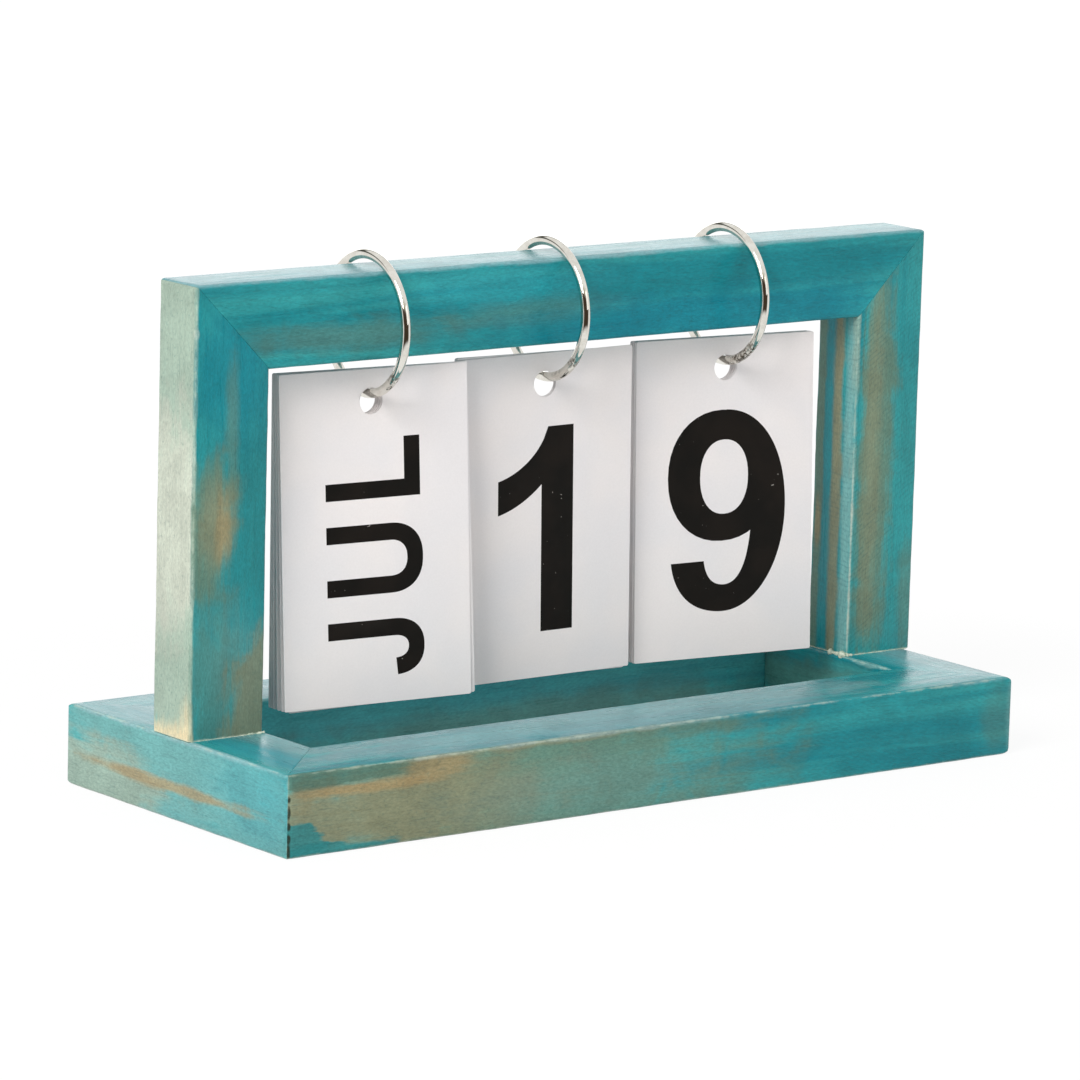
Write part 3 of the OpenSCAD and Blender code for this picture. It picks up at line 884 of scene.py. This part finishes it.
def bar(x0, y0, x1, y1):
    return [[(x0, y0), (x1, y0), (x1, y1), (x0, y1)]]


def slant(x0, y0, x1, y1, width):
    """Stroke from (x0, y0) to (x1, y1), which are the left ends of its foot and its head."""
    return [[(x0, y0), (x0 + width, y0), (x1 + width, y1), (x1, y1)]]


def band(outer, inner):
    """Quads between two curves with equally many points."""
    return [[outer[i], outer[i + 1], inner[i + 1], inner[i]] for i in range(len(outer) - 1)]


def ellipse(cx, cy, rx, ry, start, end, steps=ARC_STEPS, power=2.0):
    """Points on an ellipse, or on a squarer curve where power is above 2; angles are in degrees."""
    points = []
    for k in range(steps + 1):
        turn = math.radians(start + (end - start) * k / steps)
        c, s = math.cos(turn), math.sin(turn)
        points.append((cx + rx * math.copysign(abs(c) ** (2 / power), c),
                       cy + ry * math.copysign(abs(s) ** (2 / power), s)))
    return points


def bowl(cx, cy, rx, ry, stem, cross, start=0, end=360, power=2.3):
    """Round stroke: stem is its thickness at the sides and cross at the top and bottom."""
    return band(ellipse(cx, cy, rx, ry, start, end, power=power),
                ellipse(cx, cy, rx - stem, ry - cross, start, end, power=power))


def curve(points, steps=ARC_STEPS):
    """Smooth curve through four control points."""
    a, b, c, d = (np.array(p, float) for p in points)
    t = np.linspace(0, 1, steps + 1)[:, None]
    places = (1 - t) ** 3 * a + 3 * (1 - t) ** 2 * t * b + 3 * (1 - t) * t * t * c + t ** 3 * d
    return [tuple(p) for p in places]


def ribbon(outer, inner):
    """Band between two curves of different length, taken at equal shares of their points."""
    steps = len(inner) - 1
    spread = [outer[round(k * (len(outer) - 1) / steps)] for k in range(steps + 1)]
    return band(spread, inner)


def turned(pieces, width):
    """A glyph turned half a turn about its middle."""
    return [[(width - x, 100 - y) for x, y in piece] for piece in pieces]


def letter_shapes():
    s, h = LETTER_STEM, LETTER_BAR
    post = bar(0, 0, s, 100)
    return {
        "A": (74, slant(0, 0, 28, 100, s * 1.12) + slant(56, 0, 28, 100, s * 1.12) + bar(16, 22, 58, 22 + h)),
        "B": (66, post + bar(s, 100 - h, 36, 100) + bar(s, 46, 38, 46 + h * 0.92) + bar(s, 0, 38, h)
              + bowl(36, 73, 27, 27, s, h, -90, 90) + bowl(38, 31, 28, 31, s, h, -90, 90)),
        "C": (69, bowl(36, 50, 36, 51.5, s, h, 38, 322)),
        "D": (68, post + bar(s, 100 - h, 32, 100) + bar(s, 0, 32, h)
              + bowl(32, 50, 36, 50, s, h, -90, 90)),
        "E": (57, post + bar(s, 0, 57, h) + bar(s, 43, 53, 43 + h) + bar(s, 100 - h, 56, 100)),
        "F": (55, post + bar(s, 42, 50, 42 + h) + bar(s, 100 - h, 55, 100)),
        "G": (72, bowl(36, 50, 36, 51.5, s, h, 38, 310) + bar(39, 38, 71, 38 + h * 0.9)
              + bar(71 - s, 8, 71, 42)),
        "J": (53, bar(53 - s, 30, 53, 100) + bowl(26.5, 30, 26.5, 32, s, h, -176, 0)),
        "L": (56, post + bar(s, 0, 56, h)),
        "M": (84, post + bar(84 - s, 0, 84, 100) + slant(34, 0, 2, 100, s) + slant(34, 0, 66, 100, s)),
        "N": (68, post + bar(68 - s, 0, 68, 100) + slant(68 - s * 1.15, 0, 0, 100, s * 1.15)),
        "O": (75, bowl(37.5, 50, 37.5, 51.5, s, h)),
        "P": (64, post + bar(s, 100 - h, 34, 100) + bar(s, 38, 34, 38 + h)
              + bowl(34, 69, 30, 31, s, h, -90, 90)),
        "R": (69, post + bar(s, 100 - h, 35, 100) + bar(s, 41, 36, 41 + h)
              + bowl(35, 70.5, 30, 29.5, s, h, -90, 90) + slant(51, 0, 28, 45, s * 1.15)),
        "S": (63, bowl(31.5, 72, 31, 29.5, s, h, 20, 270) + bowl(31.5, 28.5, 32, 30, s, h, -160, 90)),
        "T": (64, bar(0, 100 - h, 64, 100) + bar(32 - s / 2, 0, 32 + s / 2, 100 - h)),
        "U": (65.5, bar(0, 32, s, 100) + bar(65.5 - s, 32, 65.5, 100)
              + bowl(32.75, 33, 32.75, 35, s, h, -180, 0)),
        "V": (70, slant(27, 0, 0, 100, s * 1.1) + slant(27, 0, 53, 100, s * 1.1)),
        "Y": (68, slant(26, 36, 0, 100, s * 1.12) + slant(26, 36, 50, 100, s * 1.12)
              + bar(26, 0, 26 + s, 42)),
    }


def digit_shapes():
    s, h = DIGIT_STEM, DIGIT_BAR
    flag_top = curve([(29.0, 100), (25.4, 88), (14, 78.5), (0.6, 75.2)])
    flag_foot = curve([(26.0, 72.6), (19, 66), (10, 60.8), (0.6, 58.6)])
    nine = band(ellipse(30.6, 67.5, 30.6, 32.5, 0, 360, power=2.15),
                ellipse(31.8, 66.8, 13.6, 18.4, 0, 360, power=2.2))
    outer = (ellipse(31.4, 51, 35.4, 49, 88, 0, 30, power=2.15)
             + ellipse(31.4, 51, 35.4, 51, 0, -90, 30)[1:]
             + curve([(31.4, 0), (16, 0), (4.2, 8), (2, 25.4)], 20)[1:])
    inner = (ellipse(31.8, 66.8, 13.6, 18.4, 88, 0, 22, power=2.2)
             + curve([(45.4, 66.8), (48.6, 58), (48, 48), (47.2, 41.7)], 12)[1:]
             + curve([(47.2, 41.7), (45.4, 22), (40, 13.3), (32, 13.3)], 24)[1:]
             + curve([(32, 13.3), (25.5, 13.3), (21.6, 17.5), (20.6, 25.6)], 22)[1:])
    return {
        "0": (66, bowl(33, 50, 33, 51, s, h, power=2.2)),
        "1": (43.6, [[(25.4, 0), (43.6, 0), (43.6, 100), (29, 100), (25.4, 91.5)]]
              + band(flag_top, flag_foot)),
        "2": (64, bowl(32, 70, 31, 31, s, h, -38, 165) + bar(1, 0, 64, h)
              + [[(1, 0), (24, 0), (24, h), (57.2, 49.7), (42.2, 59.6), (1, h)]]),
        "3": (64, bowl(31, 73, 28, 28, s, h, -90, 160) + bowl(32, 29, 32, 31, s, h, -160, 90)
              + bar(24, 46, 34, 46 + h * 0.9)),
        "4": (70, bar(40, 0, 40 + s, 100) + bar(0, 20, 70, 20 + h) + slant(0, 24, 40, 100, s * 1.05)),
        "5": (65, bar(12, 100 - h, 60, 100) + slant(4, 46, 11, 100, s * 0.85)
              + bowl(32, 33, 32, 34, s, h, -160, 135)),
        "7": (62, bar(0, 100 - h, 62, 100) + slant(12, 0, 40, 92, s * 1.1)),
        "8": (66, bowl(33, 74.5, 29, 27, s, h * 0.95) + bowl(33, 28.5, 33, 30, s, h * 0.95)),
        "9": (66.8, nine + ribbon(outer, inner)),
        "6": (66.8, turned(nine + ribbon(outer, inner), 66.8)),
    }


GLYPHS = {**letter_shapes(), **digit_shapes()}
# Places and sizes of the prints in millimetres, from a card's lower left corner
MONTH_CAP, MONTH_GAP, MONTH_ROOM = 23.2, 5.6, 55.0
MONTH_BASELINE, MONTH_MIDDLE = 34.0, 31.7
DIGIT_FOOT, DIGIT_HEIGHT = 10.3, 45.8
DIGIT_MIDDLE = {"tens": 20.7, "units": 23.6}


def month_print(name):
    """Three letters that read upwards, as flat pieces in card millimetres."""
    glyphs = [GLYPHS[letter] for letter in name.upper()]
    scale = MONTH_CAP / 100
    length = sum(width * scale for width, _ in glyphs) + MONTH_GAP * (len(glyphs) - 1)
    fit = min(1.0, MONTH_ROOM / length)
    start = MONTH_MIDDLE - length * fit / 2
    pieces = []
    for width, shapes in glyphs:
        for shape in shapes:
            pieces.append([(MONTH_BASELINE - y * scale, start + x * scale * fit) for x, y in shape])
        start += (width * scale + MONTH_GAP) * fit
    return pieces


def digit_print(pack, name):
    width, shapes = GLYPHS[name]
    scale = DIGIT_HEIGHT / 100
    start = DIGIT_MIDDLE[pack] - width * scale / 2
    return [[(start + x * scale, DIGIT_FOOT + y * scale) for x, y in shape] for shape in shapes]


# ---------------------------------------------------------------- cards

# A card's hole, clipped corners and bow in millimetres, and how finely it is divided
HOLE_D, CARD_CORNER, BOW = 5.8, 0.35, 0.25
CARD_GRID, HOLE_STEPS = 6, 48
# How each card hangs on its ring: turn in degrees, shift to the right and drop in millimetres. The
# cards that aren't named here turn and shift at random, up to SWAY_TURN and SWAY_SHIFT
SWAY_TURN, SWAY_SHIFT, SWAY_SEED = 0.25, 0.3, 7
SWAYS = {
    "month_jul": (0.0, 0.0, 0.0),
    "month_aug": (0.8, 0.35, 0.1),
    "month_sep": (0.0, -0.12, 0.0),
    "month_oct": (0.3, 0.3, 0.0),
    "month_nov": (0.2, 0.3, 0.0),
    "month_dec": (0.0, -0.14, 0.0),
    "month_jan": (0.2, 0.2, 0.0),
    "month_feb": (0.1, 0.2, 0.0),
    "month_mar": (-0.1, -0.03, 0.0),
    "month_apr": (0.1, 0.2, 0.0),
    "month_may": (0.0, 0.0, 0.0),
    "month_jun": (-0.1, -0.04, 0.0),
    "tens_1": (1.0, 0.0, 0.1),
    "units_9": (0.0, 0.0, 0.0),
    "units_0": (-0.1, -0.15, 0.0),
}


def card_axes(node):
    """A CAD card's lower left front corner, its directions right, up and back, its sizes and the centre
    of its hole."""
    places = np.unique(np.round([v.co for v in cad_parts[node].data.vertices], 7), axis=0)
    away = np.linalg.norm(places - (places.min(0) + places.max(0)) / 2, axis=1)
    order = np.argsort(away)
    corners, rim = places[order[-8:]], places[order[:-8]]
    by_side = corners[np.argsort(corners[:, 0])]
    left, right = by_side[:4], by_side[4:]
    left, right = left[np.argsort(left[:, 2])], right[np.argsort(right[:, 2])]
    front, back = left[:2][np.argsort(left[:2, 1])]
    sides = [right[:2][right[:2, 1].argmin()] - front, left[2:][left[2:, 1].argmin()] - front, back - front]
    sizes = [np.linalg.norm(side) for side in sides]
    across, up, depth = (side / size for side, size in zip(sides, sizes))
    flat = np.array([(rim - front) @ across, (rim - front) @ up])
    hole = (flat.min(1) + flat.max(1)) / 2 / MM
    return Vector(front), Vector(across), Vector(up), Vector(depth), sizes, tuple(hole)


def inside(places, loop):
    """Which of the places lie inside a closed loop."""
    x, y = places.T
    within = np.zeros(len(places), bool)
    for (x0, y0), (x1, y1) in zip(loop, loop[1:] + loop[:1]):
        if y0 != y1:
            within ^= ((y0 > y) != (y1 > y)) & (x < (x1 - x0) * (y - y0) / (y1 - y0) + x0)
    return within


def card_outline(width, height):
    """Rectangle with clipped corners."""
    c, d = CARD_CORNER, CARD_CORNER * 0.3
    return [(c, 0), (width - c, 0), (width - d, d), (width, c), (width, height - c), (width - d, height - d),
            (width - c, height), (c, height), (d, height - d), (0, height - c), (0, c), (d, d)]


def card_pattern(width, height, hole, prints):
    """Flat card cut into triangles: its points, its triangles, and which of those are printed."""
    rim = [(hole[0] + HOLE_D / 2 * math.cos(2 * math.pi * k / HOLE_STEPS),
            hole[1] + HOLE_D / 2 * math.sin(2 * math.pi * k / HOLE_STEPS)) for k in range(HOLE_STEPS)]
    outline = card_outline(width, height)
    points, edges = [], []
    for loop in [outline, rim] + prints:
        first = len(points)
        points.extend(Vector(p) for p in loop)
        edges.extend((first + k, first + (k + 1) % len(loop)) for k in range(len(loop)))
    for i in range(1, CARD_GRID):
        for j in range(1, 2 * CARD_GRID):
            points.append(Vector((width * i / CARD_GRID, height * j / (2 * CARD_GRID))))
    found = delaunay_2d_cdt(points, edges, [], 0, 1e-4)
    places, triangles = np.array([tuple(p) for p in found[0]]), np.array(found[2])
    middles = places[triangles].mean(1)
    triangles = triangles[inside(middles, outline) & ~inside(middles, rim)]
    middles = places[triangles].mean(1)
    printed = np.zeros(len(triangles), bool)
    for loop in prints:
        printed |= inside(middles, loop)
    return places.tolist(), triangles.tolist(), printed.tolist()


def make_card(node, prints, paper, ink, sway):
    """A card in the place of its CAD node; sway is how it hangs askew in its own plane, as in SWAYS."""
    corner, across, up, depth, (width, height, thickness), centre = card_axes(node)
    width, height = width / MM, height / MM
    places, triangles, printed = card_pattern(width, height, centre, prints)
    turn, shift, drop = math.radians(sway[0]), *sway[1:]
    verts = []
    for layer in (0.0, thickness):
        for x, y in places:
            dx, dy = x - centre[0], y - centre[1]
            u = centre[0] + dx * math.cos(turn) - dy * math.sin(turn) + shift
            v = centre[1] + dx * math.sin(turn) + dy * math.cos(turn) - drop
            bow = BOW * (1 - (2 * x / width - 1) ** 2) * max(0.0, 1 - y / centre[1])
            verts.append(corner + across * u * MM + up * v * MM + depth * (layer - bow * MM))
    count = len(places)
    sides = {(t[k], t[(k + 1) % 3]) for t in triangles for k in range(3)}
    walls = [(b, a, a + count, b + count) for a, b in sides if (b, a) not in sides]
    faces = triangles + [[i + count for i in reversed(t)] for t in triangles] + sorted(walls)
    inked = printed + [False] * (len(faces) - len(printed))
    card = mesh_object(node + "_sheet", verts, faces, [paper, ink])
    with Opened(card) as work:
        for face, has_ink in zip(work.faces, inked):
            face.material_index = int(has_ink)
        bmesh.ops.delete(work, geom=[v for v in work.verts if not v.link_faces], context="VERTS")
        bmesh.ops.recalc_face_normals(work, faces=work.faces)
    smooth(card, 30)
    stand_for(card, node, node)


def make_cards():
    paper, ink = paper_material(), ink_material()
    dice = random.Random(SWAY_SEED)
    for pack, names in PACKS.items():
        for name in names:
            prints = month_print(name) if pack == "month" else digit_print(pack, name)
            sway = (dice.uniform(-SWAY_TURN, SWAY_TURN), dice.uniform(-SWAY_SHIFT, SWAY_SHIFT), 0.0)
            sway = SWAYS.get(pack + "_" + name, sway)
            make_card(f"{pack}_card_{name}", prints, paper, ink, sway)


# ---------------------------------------------------------------- metal

NICKEL_WHITE, NICKEL_GREY, NICKEL_BROWN = srgb(228, 226, 218), srgb(214, 210, 200), srgb(74, 60, 42)
ZINC_GREY, ZINC_WHITE = srgb(176, 178, 180), srgb(206, 206, 204)
# Darker, rougher mottled places of the rings near their closures: centre and half size in millimetres, and
# strength
CLOSURE_MOTTLE = [
    ((47.2, -6.2, 90.2), (2.2, 4.4, 3.6), 0.9),
    ((47.4, -9.6, 93.2), (2.2, 1.9, 1.7), 0.95),
    ((-3.0, -9.6, 93.2), (2.2, 1.8, 1.6), 0.8),
    ((-51.2, -9.6, 93.2), (2.2, 1.8, 1.6), 0.8),
    ((-3.0, -5.0, 89.4), (2.2, 2.4, 1.6), 0.35),
]


def nickel_material():
    material, graph, shader, point = new_material("nickel_plate")
    smear = graph.noise(point, 0.5, 4.0, 0.6)
    specks = graph.noise(point, 1.6, 4.0, 0.7)
    colour = graph.mix(graph.spread(smear), NICKEL_WHITE, NICKEL_GREY)
    dull = graph.times(graph.between(specks, 0.66, 0.72), 0.5)
    for centre, size, strength in CLOSURE_MOTTLE:
        near = graph.effect(SOFT_PATCH, Point=point, Centre=centre, Size=size, Ragged=smear,
                            Strength=strength)[0]
        dull = graph.most(dull, graph.times(near, graph.between(specks, 0.44, 0.56)))
    colour = graph.mix(dull, colour, NICKEL_BROWN)
    rough = graph.between(smear, 0.35, 0.75, 0.05, 0.11)
    rough = graph.math("ADD", rough, graph.times(dull, 0.3))
    feed(graph, shader, Base_Color=colour, Roughness=rough, Normal=relief(graph, dull, -0.01, 0.5))
    shader.inputs["Metallic"].default_value = 1.0
    return material


def steel_material():
    material, graph, shader, point = new_material("zinc_plate")
    grain = graph.noise(point, 3.0, 4.0, 0.7)
    colour = graph.mix(graph.spread(grain), ZINC_GREY, ZINC_WHITE)
    feed(graph, shader, Base_Color=colour, Roughness=graph.spread(grain, 0.28, 0.48),
         Normal=relief(graph, grain, 0.03, 0.5))
    shader.inputs["Metallic"].default_value = 1.0
    return material


def copy_of_node(node, material, body):
    """Smooth merged copy of a CAD node that stands for it."""
    obj = add_object(node + "_metal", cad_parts[node].data.copy())
    obj.data.materials.clear()
    obj.data.materials.append(material)
    with Opened(obj) as work:
        bmesh.ops.remove_doubles(work, verts=work.verts, dist=0.0005 * MM)
    if "custom_normal" in obj.data.attributes:
        obj.data.attributes.remove(obj.data.attributes["custom_normal"])
    smooth(obj, 30)
    stand_for(obj, node, body)


# Sizes of the rings in millimetres. Ring angles are in degrees, from a ring's lowest point forwards
# and up; a ring is turned by RING_TURN about the vertical
RING_R, WIRE_R, RING_TURN = 15.0, 1.05, 2.0
CLOSURE, HINGE, OVERLAP = 48.0, 236.0, 8.0
TOOTH_STEPS, TOOTH_DEPTH, TOOTH_GAP, TOOTH_W, TOOTH_REACH = 4, 1.3, 0.1, 2.52, 5.5
EAR_R, EAR_GAP, EAR_RIM, RIVET_R = 2.1, 0.1, 0.15, 0.7
# The wire runs a little past the hinge into its ear, which is a little thinner than the wire
INTO_EAR, EAR_EASE = 1.7, 0.02
WIRE_STEPS, WIRE_SIDES = 128, 28


def build_wire(graph, inputs):
    """Round wire bent along a flat arc."""
    values = {"Resolution": WIRE_STEPS, "Radius": inputs["Bend"], "Start Angle": inputs["Start"],
              "Sweep Angle": inputs["Sweep"]}
    path = graph.out("GeometryNodeCurveArc", values)
    values = {"Resolution": WIRE_SIDES, "Radius": inputs["Wire"]}
    rim = graph.out("GeometryNodeCurvePrimitiveCircle", values)
    return {"Curve": path, "Profile Curve": rim}


def ring_wire(name, tree, start, end):
    """Wire of a ring between two ring angles, lying flat round the origin."""
    values = {"Bend": RING_R, "Wire": WIRE_R,
              "Start": math.radians(270 - end), "Sweep": math.radians(end - start)}
    return face_outwards(make_tube(name, tree, values))


def at_angle(tool, angle):
    """Moves a tool to a ring angle: X points outwards and Y towards smaller angles."""
    turn = Matrix.Rotation(math.radians(270 - angle), 4, "Z")
    tool.data.transform(turn @ Matrix.Translation((RING_R, 0, 0)))
    return face_outwards(tool)


def disc(radius, bottom, top):
    return lathe("disc", [(0, bottom), (radius, bottom), (radius, top), (0, top)], 64)


def toothed_block(side):
    """Block that ends in teeth at the closure; side is 1 to trim the front half and -1 for the rear one."""
    outline = [((-1 if k % 2 == 0 else 1) * TOOTH_DEPTH / 2 - side * TOOTH_GAP / 2,
                (k / TOOTH_STEPS - 0.5) * TOOTH_W) for k in range(TOOTH_STEPS + 1)]
    outline += [(side * TOOTH_REACH, TOOTH_W / 2), (side * TOOTH_REACH, -TOOTH_W / 2)]
    block = prism("teeth", outline, -TOOTH_W, TOOTH_W)
    for vertex in block.data.vertices:
        x, y, z = vertex.co
        vertex.co = (z, x, y)
    return at_angle(block, CLOSURE)


def ring_half(node, tree, side, centre):
    """Half of a ring in its place: side is 1 for the front half and -1 for the rear one."""
    half = EAR_GAP / 2
    if side > 0:
        start, end = CLOSURE - OVERLAP, HINGE + INTO_EAR
    else:
        start, end = HINGE - 360 - INTO_EAR, CLOSURE + OVERLAP
    wire = ring_wire(node + "_wire", tree, start, end)
    space = (-2 * WIRE_R, half) if side > 0 else (-half, 2 * WIRE_R)
    ear = sorted((side * (half - EAR_EASE / 2), side * (WIRE_R - EAR_EASE)))
    steps = [("DIFFERENCE", at_angle(disc(EAR_R + EAR_RIM, *space), HINGE)),
             ("UNION", at_angle(disc(EAR_R, *ear), HINGE)),
             ("DIFFERENCE", toothed_block(side)),
             ("DIFFERENCE", at_angle(disc(RIVET_R, -2 * EAR_R, 2 * EAR_R), HINGE))]
    for operation, tool in steps:
        combine(wire, tool, operation)
        bpy.data.objects.remove(tool)
    stand = Matrix.Rotation(math.radians(90), 4, "Z") @ Matrix.Rotation(math.radians(90), 4, "X")
    turn = Matrix.Rotation(math.radians(-RING_TURN), 4, "Z")
    wire.data.transform(Matrix.Translation(centre) @ turn @ stand @ Matrix.Scale(MM, 4))
    return wire


def make_rings(nickel):
    inputs = {"Bend": NUMBER, "Wire": NUMBER, "Start": NUMBER, "Sweep": NUMBER}
    tree = tube_tree("bent_wire", inputs, build_wire, nickel)
    low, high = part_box("top_rail")
    for pack in PACKS:
        front, rear = f"{pack}_ring_front", f"{pack}_ring_rear"
        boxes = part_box(front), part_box(rear)
        left, right = min(box[0].x for box in boxes), max(box[1].x for box in boxes)
        top = boxes[0][1].z - (RING_R + WIRE_R) * MM
        centre = Vector(((left + right) / 2, (low.y + high.y) / 2, top))
        for node, body, side in ((front, front, 1), (rear, f"{pack}_ring", -1)):
            half = ring_half(node, tree, side, centre)
            half.data.materials.clear()
            half.data.materials.append(nickel)
            smooth(half, 32)
            stand_for(half, node, body)


def make_metal():
    nickel, steel = nickel_material(), steel_material()
    make_rings(nickel)
    for pack in PACKS:
        copy_of_node(f"{pack}_ring_rivet", nickel, f"{pack}_ring")
    for node in ("base_corner_nails", "top_corner_nails", "post_screws"):
        copy_of_node(node, steel, "frame")


# ---------------------------------------------------------------- stage, light and camera

# The camera's place in metres, its turn, and its focal length over the sensor's width
CAMERA_PLACE = Vector((-0.8096, -1.0486, 0.2976))
CAMERA_YAW, CAMERA_PITCH, CAMERA_ROLL = math.radians(37.54), math.radians(10.53), math.radians(1.57)
CAMERA_FOCUS = 6112 / 1080


def make_camera():
    data = bpy.data.cameras.new("camera")
    data.sensor_width = 36
    data.lens = CAMERA_FOCUS * data.sensor_width
    data.clip_end = 50
    camera = add_object("camera", data)
    sight = Vector((math.sin(CAMERA_YAW) * math.cos(CAMERA_PITCH),
                    math.cos(CAMERA_YAW) * math.cos(CAMERA_PITCH), -math.sin(CAMERA_PITCH)))
    level = Vector((math.cos(CAMERA_YAW), -math.sin(CAMERA_YAW), 0))
    upright = level.cross(sight)
    right = level * math.cos(CAMERA_ROLL) + upright * math.sin(CAMERA_ROLL)
    up = upright * math.cos(CAMERA_ROLL) - level * math.sin(CAMERA_ROLL)
    turn = Matrix((right, up, -sight)).transposed().to_4x4()
    camera.matrix_world = Matrix.Translation(CAMERA_PLACE) @ turn
    bpy.context.scene.camera = camera


# Soft lamps: place in metres, width and height, watts and colour
LAMPS = {
    "key": ((-1.3, -0.55, 1.05), (0.8, 0.8), 22.3, (1.0, 0.99, 0.97)),
    "front": ((0.5, -1.6, 0.6), (1.2, 0.8), 3.5, (1.0, 0.99, 0.98)),
    "rear": ((1.2, 2.0, 0.7), (1.8, 1.0), 6.5, (1.0, 1.0, 1.0)),
}
LAMPS_AIM = Vector((0, 0, 0.05))


def make_lamps():
    for name, (place, size, watts, colour) in LAMPS.items():
        data = bpy.data.lights.new(name, "AREA")
        data.shape = "RECTANGLE"
        data.size, data.size_y = size
        data.energy = watts
        data.color = colour
        lamp = add_object(name, data)
        lamp.location = place
        lamp.rotation_euler = (Vector(place) - LAMPS_AIM).to_track_quat("Z", "Y").to_euler()
        lamp.visible_camera = False


# Half the floor's length, and how far the object's shadow reaches before the floor turns white
FLOOR_HALF, SHADOW_REACH = 8.0, 0.16
# How white the floor looks beside the object, its matt colour, and its own glow
FLOOR_WHITE, FLOOR_MATT, FLOOR_GLOW = 0.88, (0.8, 0.8, 0.8, 1), 1.03
# The world's light on the object, as a share of how bright the world looks
WORLD_FILL = 0.58
WHITE = (1, 1, 1, 1)
# The room that the rings mirror: dark low down and warm above that, on the side of ROOM_WAY, and a
# grey beam behind the object
ROOM_DARK = srgb(70, 58, 46)
ROOM_WARM = srgb(204, 200, 184)
ROOM_BEAM = srgb(88, 90, 84)
ROOM_WAY = Vector((-0.42, -0.91, 0.0))


def mirror_share(graph, path):
    """1 for the rays that show the surroundings: seen by the camera, mirrored or let through."""
    return graph.most(path["Is Camera Ray"], graph.most(path["Is Glossy Ray"], path["Is Transmission Ray"]))


def make_floor():
    corners = [(x * FLOOR_HALF, y * FLOOR_HALF, 0) for x, y in ((-1, -1), (1, -1), (1, 1), (-1, 1))]
    floor = mesh_object("floor", corners, [(0, 1, 2, 3)])
    material = bpy.data.materials.new("floor_white")
    graph = empty_graph(material)
    place = graph.put("ShaderNodeTexCoord").outputs["Object"]
    away = graph.vector("LENGTH", place)
    path = graph.put("ShaderNodeLightPath").outputs
    towards_room = graph.math("DIVIDE", graph.vector("DOT_PRODUCT", place, tuple(ROOM_WAY)), away)
    dark = graph.times(graph.between(towards_room, 0.45, 0.72), graph.between(away, 0.2, 0.34))
    dark = graph.times(dark, path["Is Glossy Ray"])
    colour = graph.mix(dark, WHITE, ROOM_DARK)
    matt = graph.out("ShaderNodeBsdfDiffuse", {"Color": FLOOR_MATT})
    glow = graph.out("ShaderNodeEmission", {"Color": colour, "Strength": FLOOR_GLOW})
    plain = graph.between(away, SHADOW_REACH, 2 * SHADOW_REACH, FLOOR_WHITE, 1.0)
    share = graph.times(mirror_share(graph, path), plain)
    both = graph.out("ShaderNodeMixShader", [share, matt, glow])
    graph.put("ShaderNodeOutputMaterial", [both])
    floor.data.materials.append(material)


def make_world():
    world = bpy.data.worlds.new("studio")
    graph = empty_graph(world)
    path = graph.put("ShaderNodeLightPath").outputs
    way = graph.put("ShaderNodeTexCoord").outputs["Generated"]
    height = graph.axes(way)[2]
    towards_room = graph.between(graph.vector("DOT_PRODUCT", way, tuple(ROOM_WAY)), 0.4, 0.68)
    warm = graph.times(towards_room, graph.between(height, 0.45, 0.7, 1.0, 0.0))
    dark = graph.times(towards_room, graph.between(height, 0.3, 0.52, 1.0, 0.0))
    behind = graph.between(graph.axes(way)[1], 0.35, 0.6)
    beam = graph.times(graph.between(height, 0.3, 0.42), graph.between(height, 0.52, 0.64, 1.0, 0.0))
    room = graph.mix(graph.times(behind, beam), WHITE, ROOM_BEAM)
    room = graph.mix(dark, graph.mix(warm, room, ROOM_WARM), ROOM_DARK)
    seen = graph.mix(path["Is Glossy Ray"], WHITE, room)
    strength = graph.math("ADD", graph.times(mirror_share(graph, path), 1 - WORLD_FILL), WORLD_FILL)
    sky = graph.out("ShaderNodeBackground", [seen, strength])
    graph.put("ShaderNodeOutputWorld", [sky])
    bpy.context.scene.world = world


def make_stage():
    bpy.context.scene.view_settings.view_transform = "Standard"
    make_world()
    make_floor()
    make_lamps()
    make_camera()


make_stage()
make_wood()
make_glue()
make_cards()
make_metal()
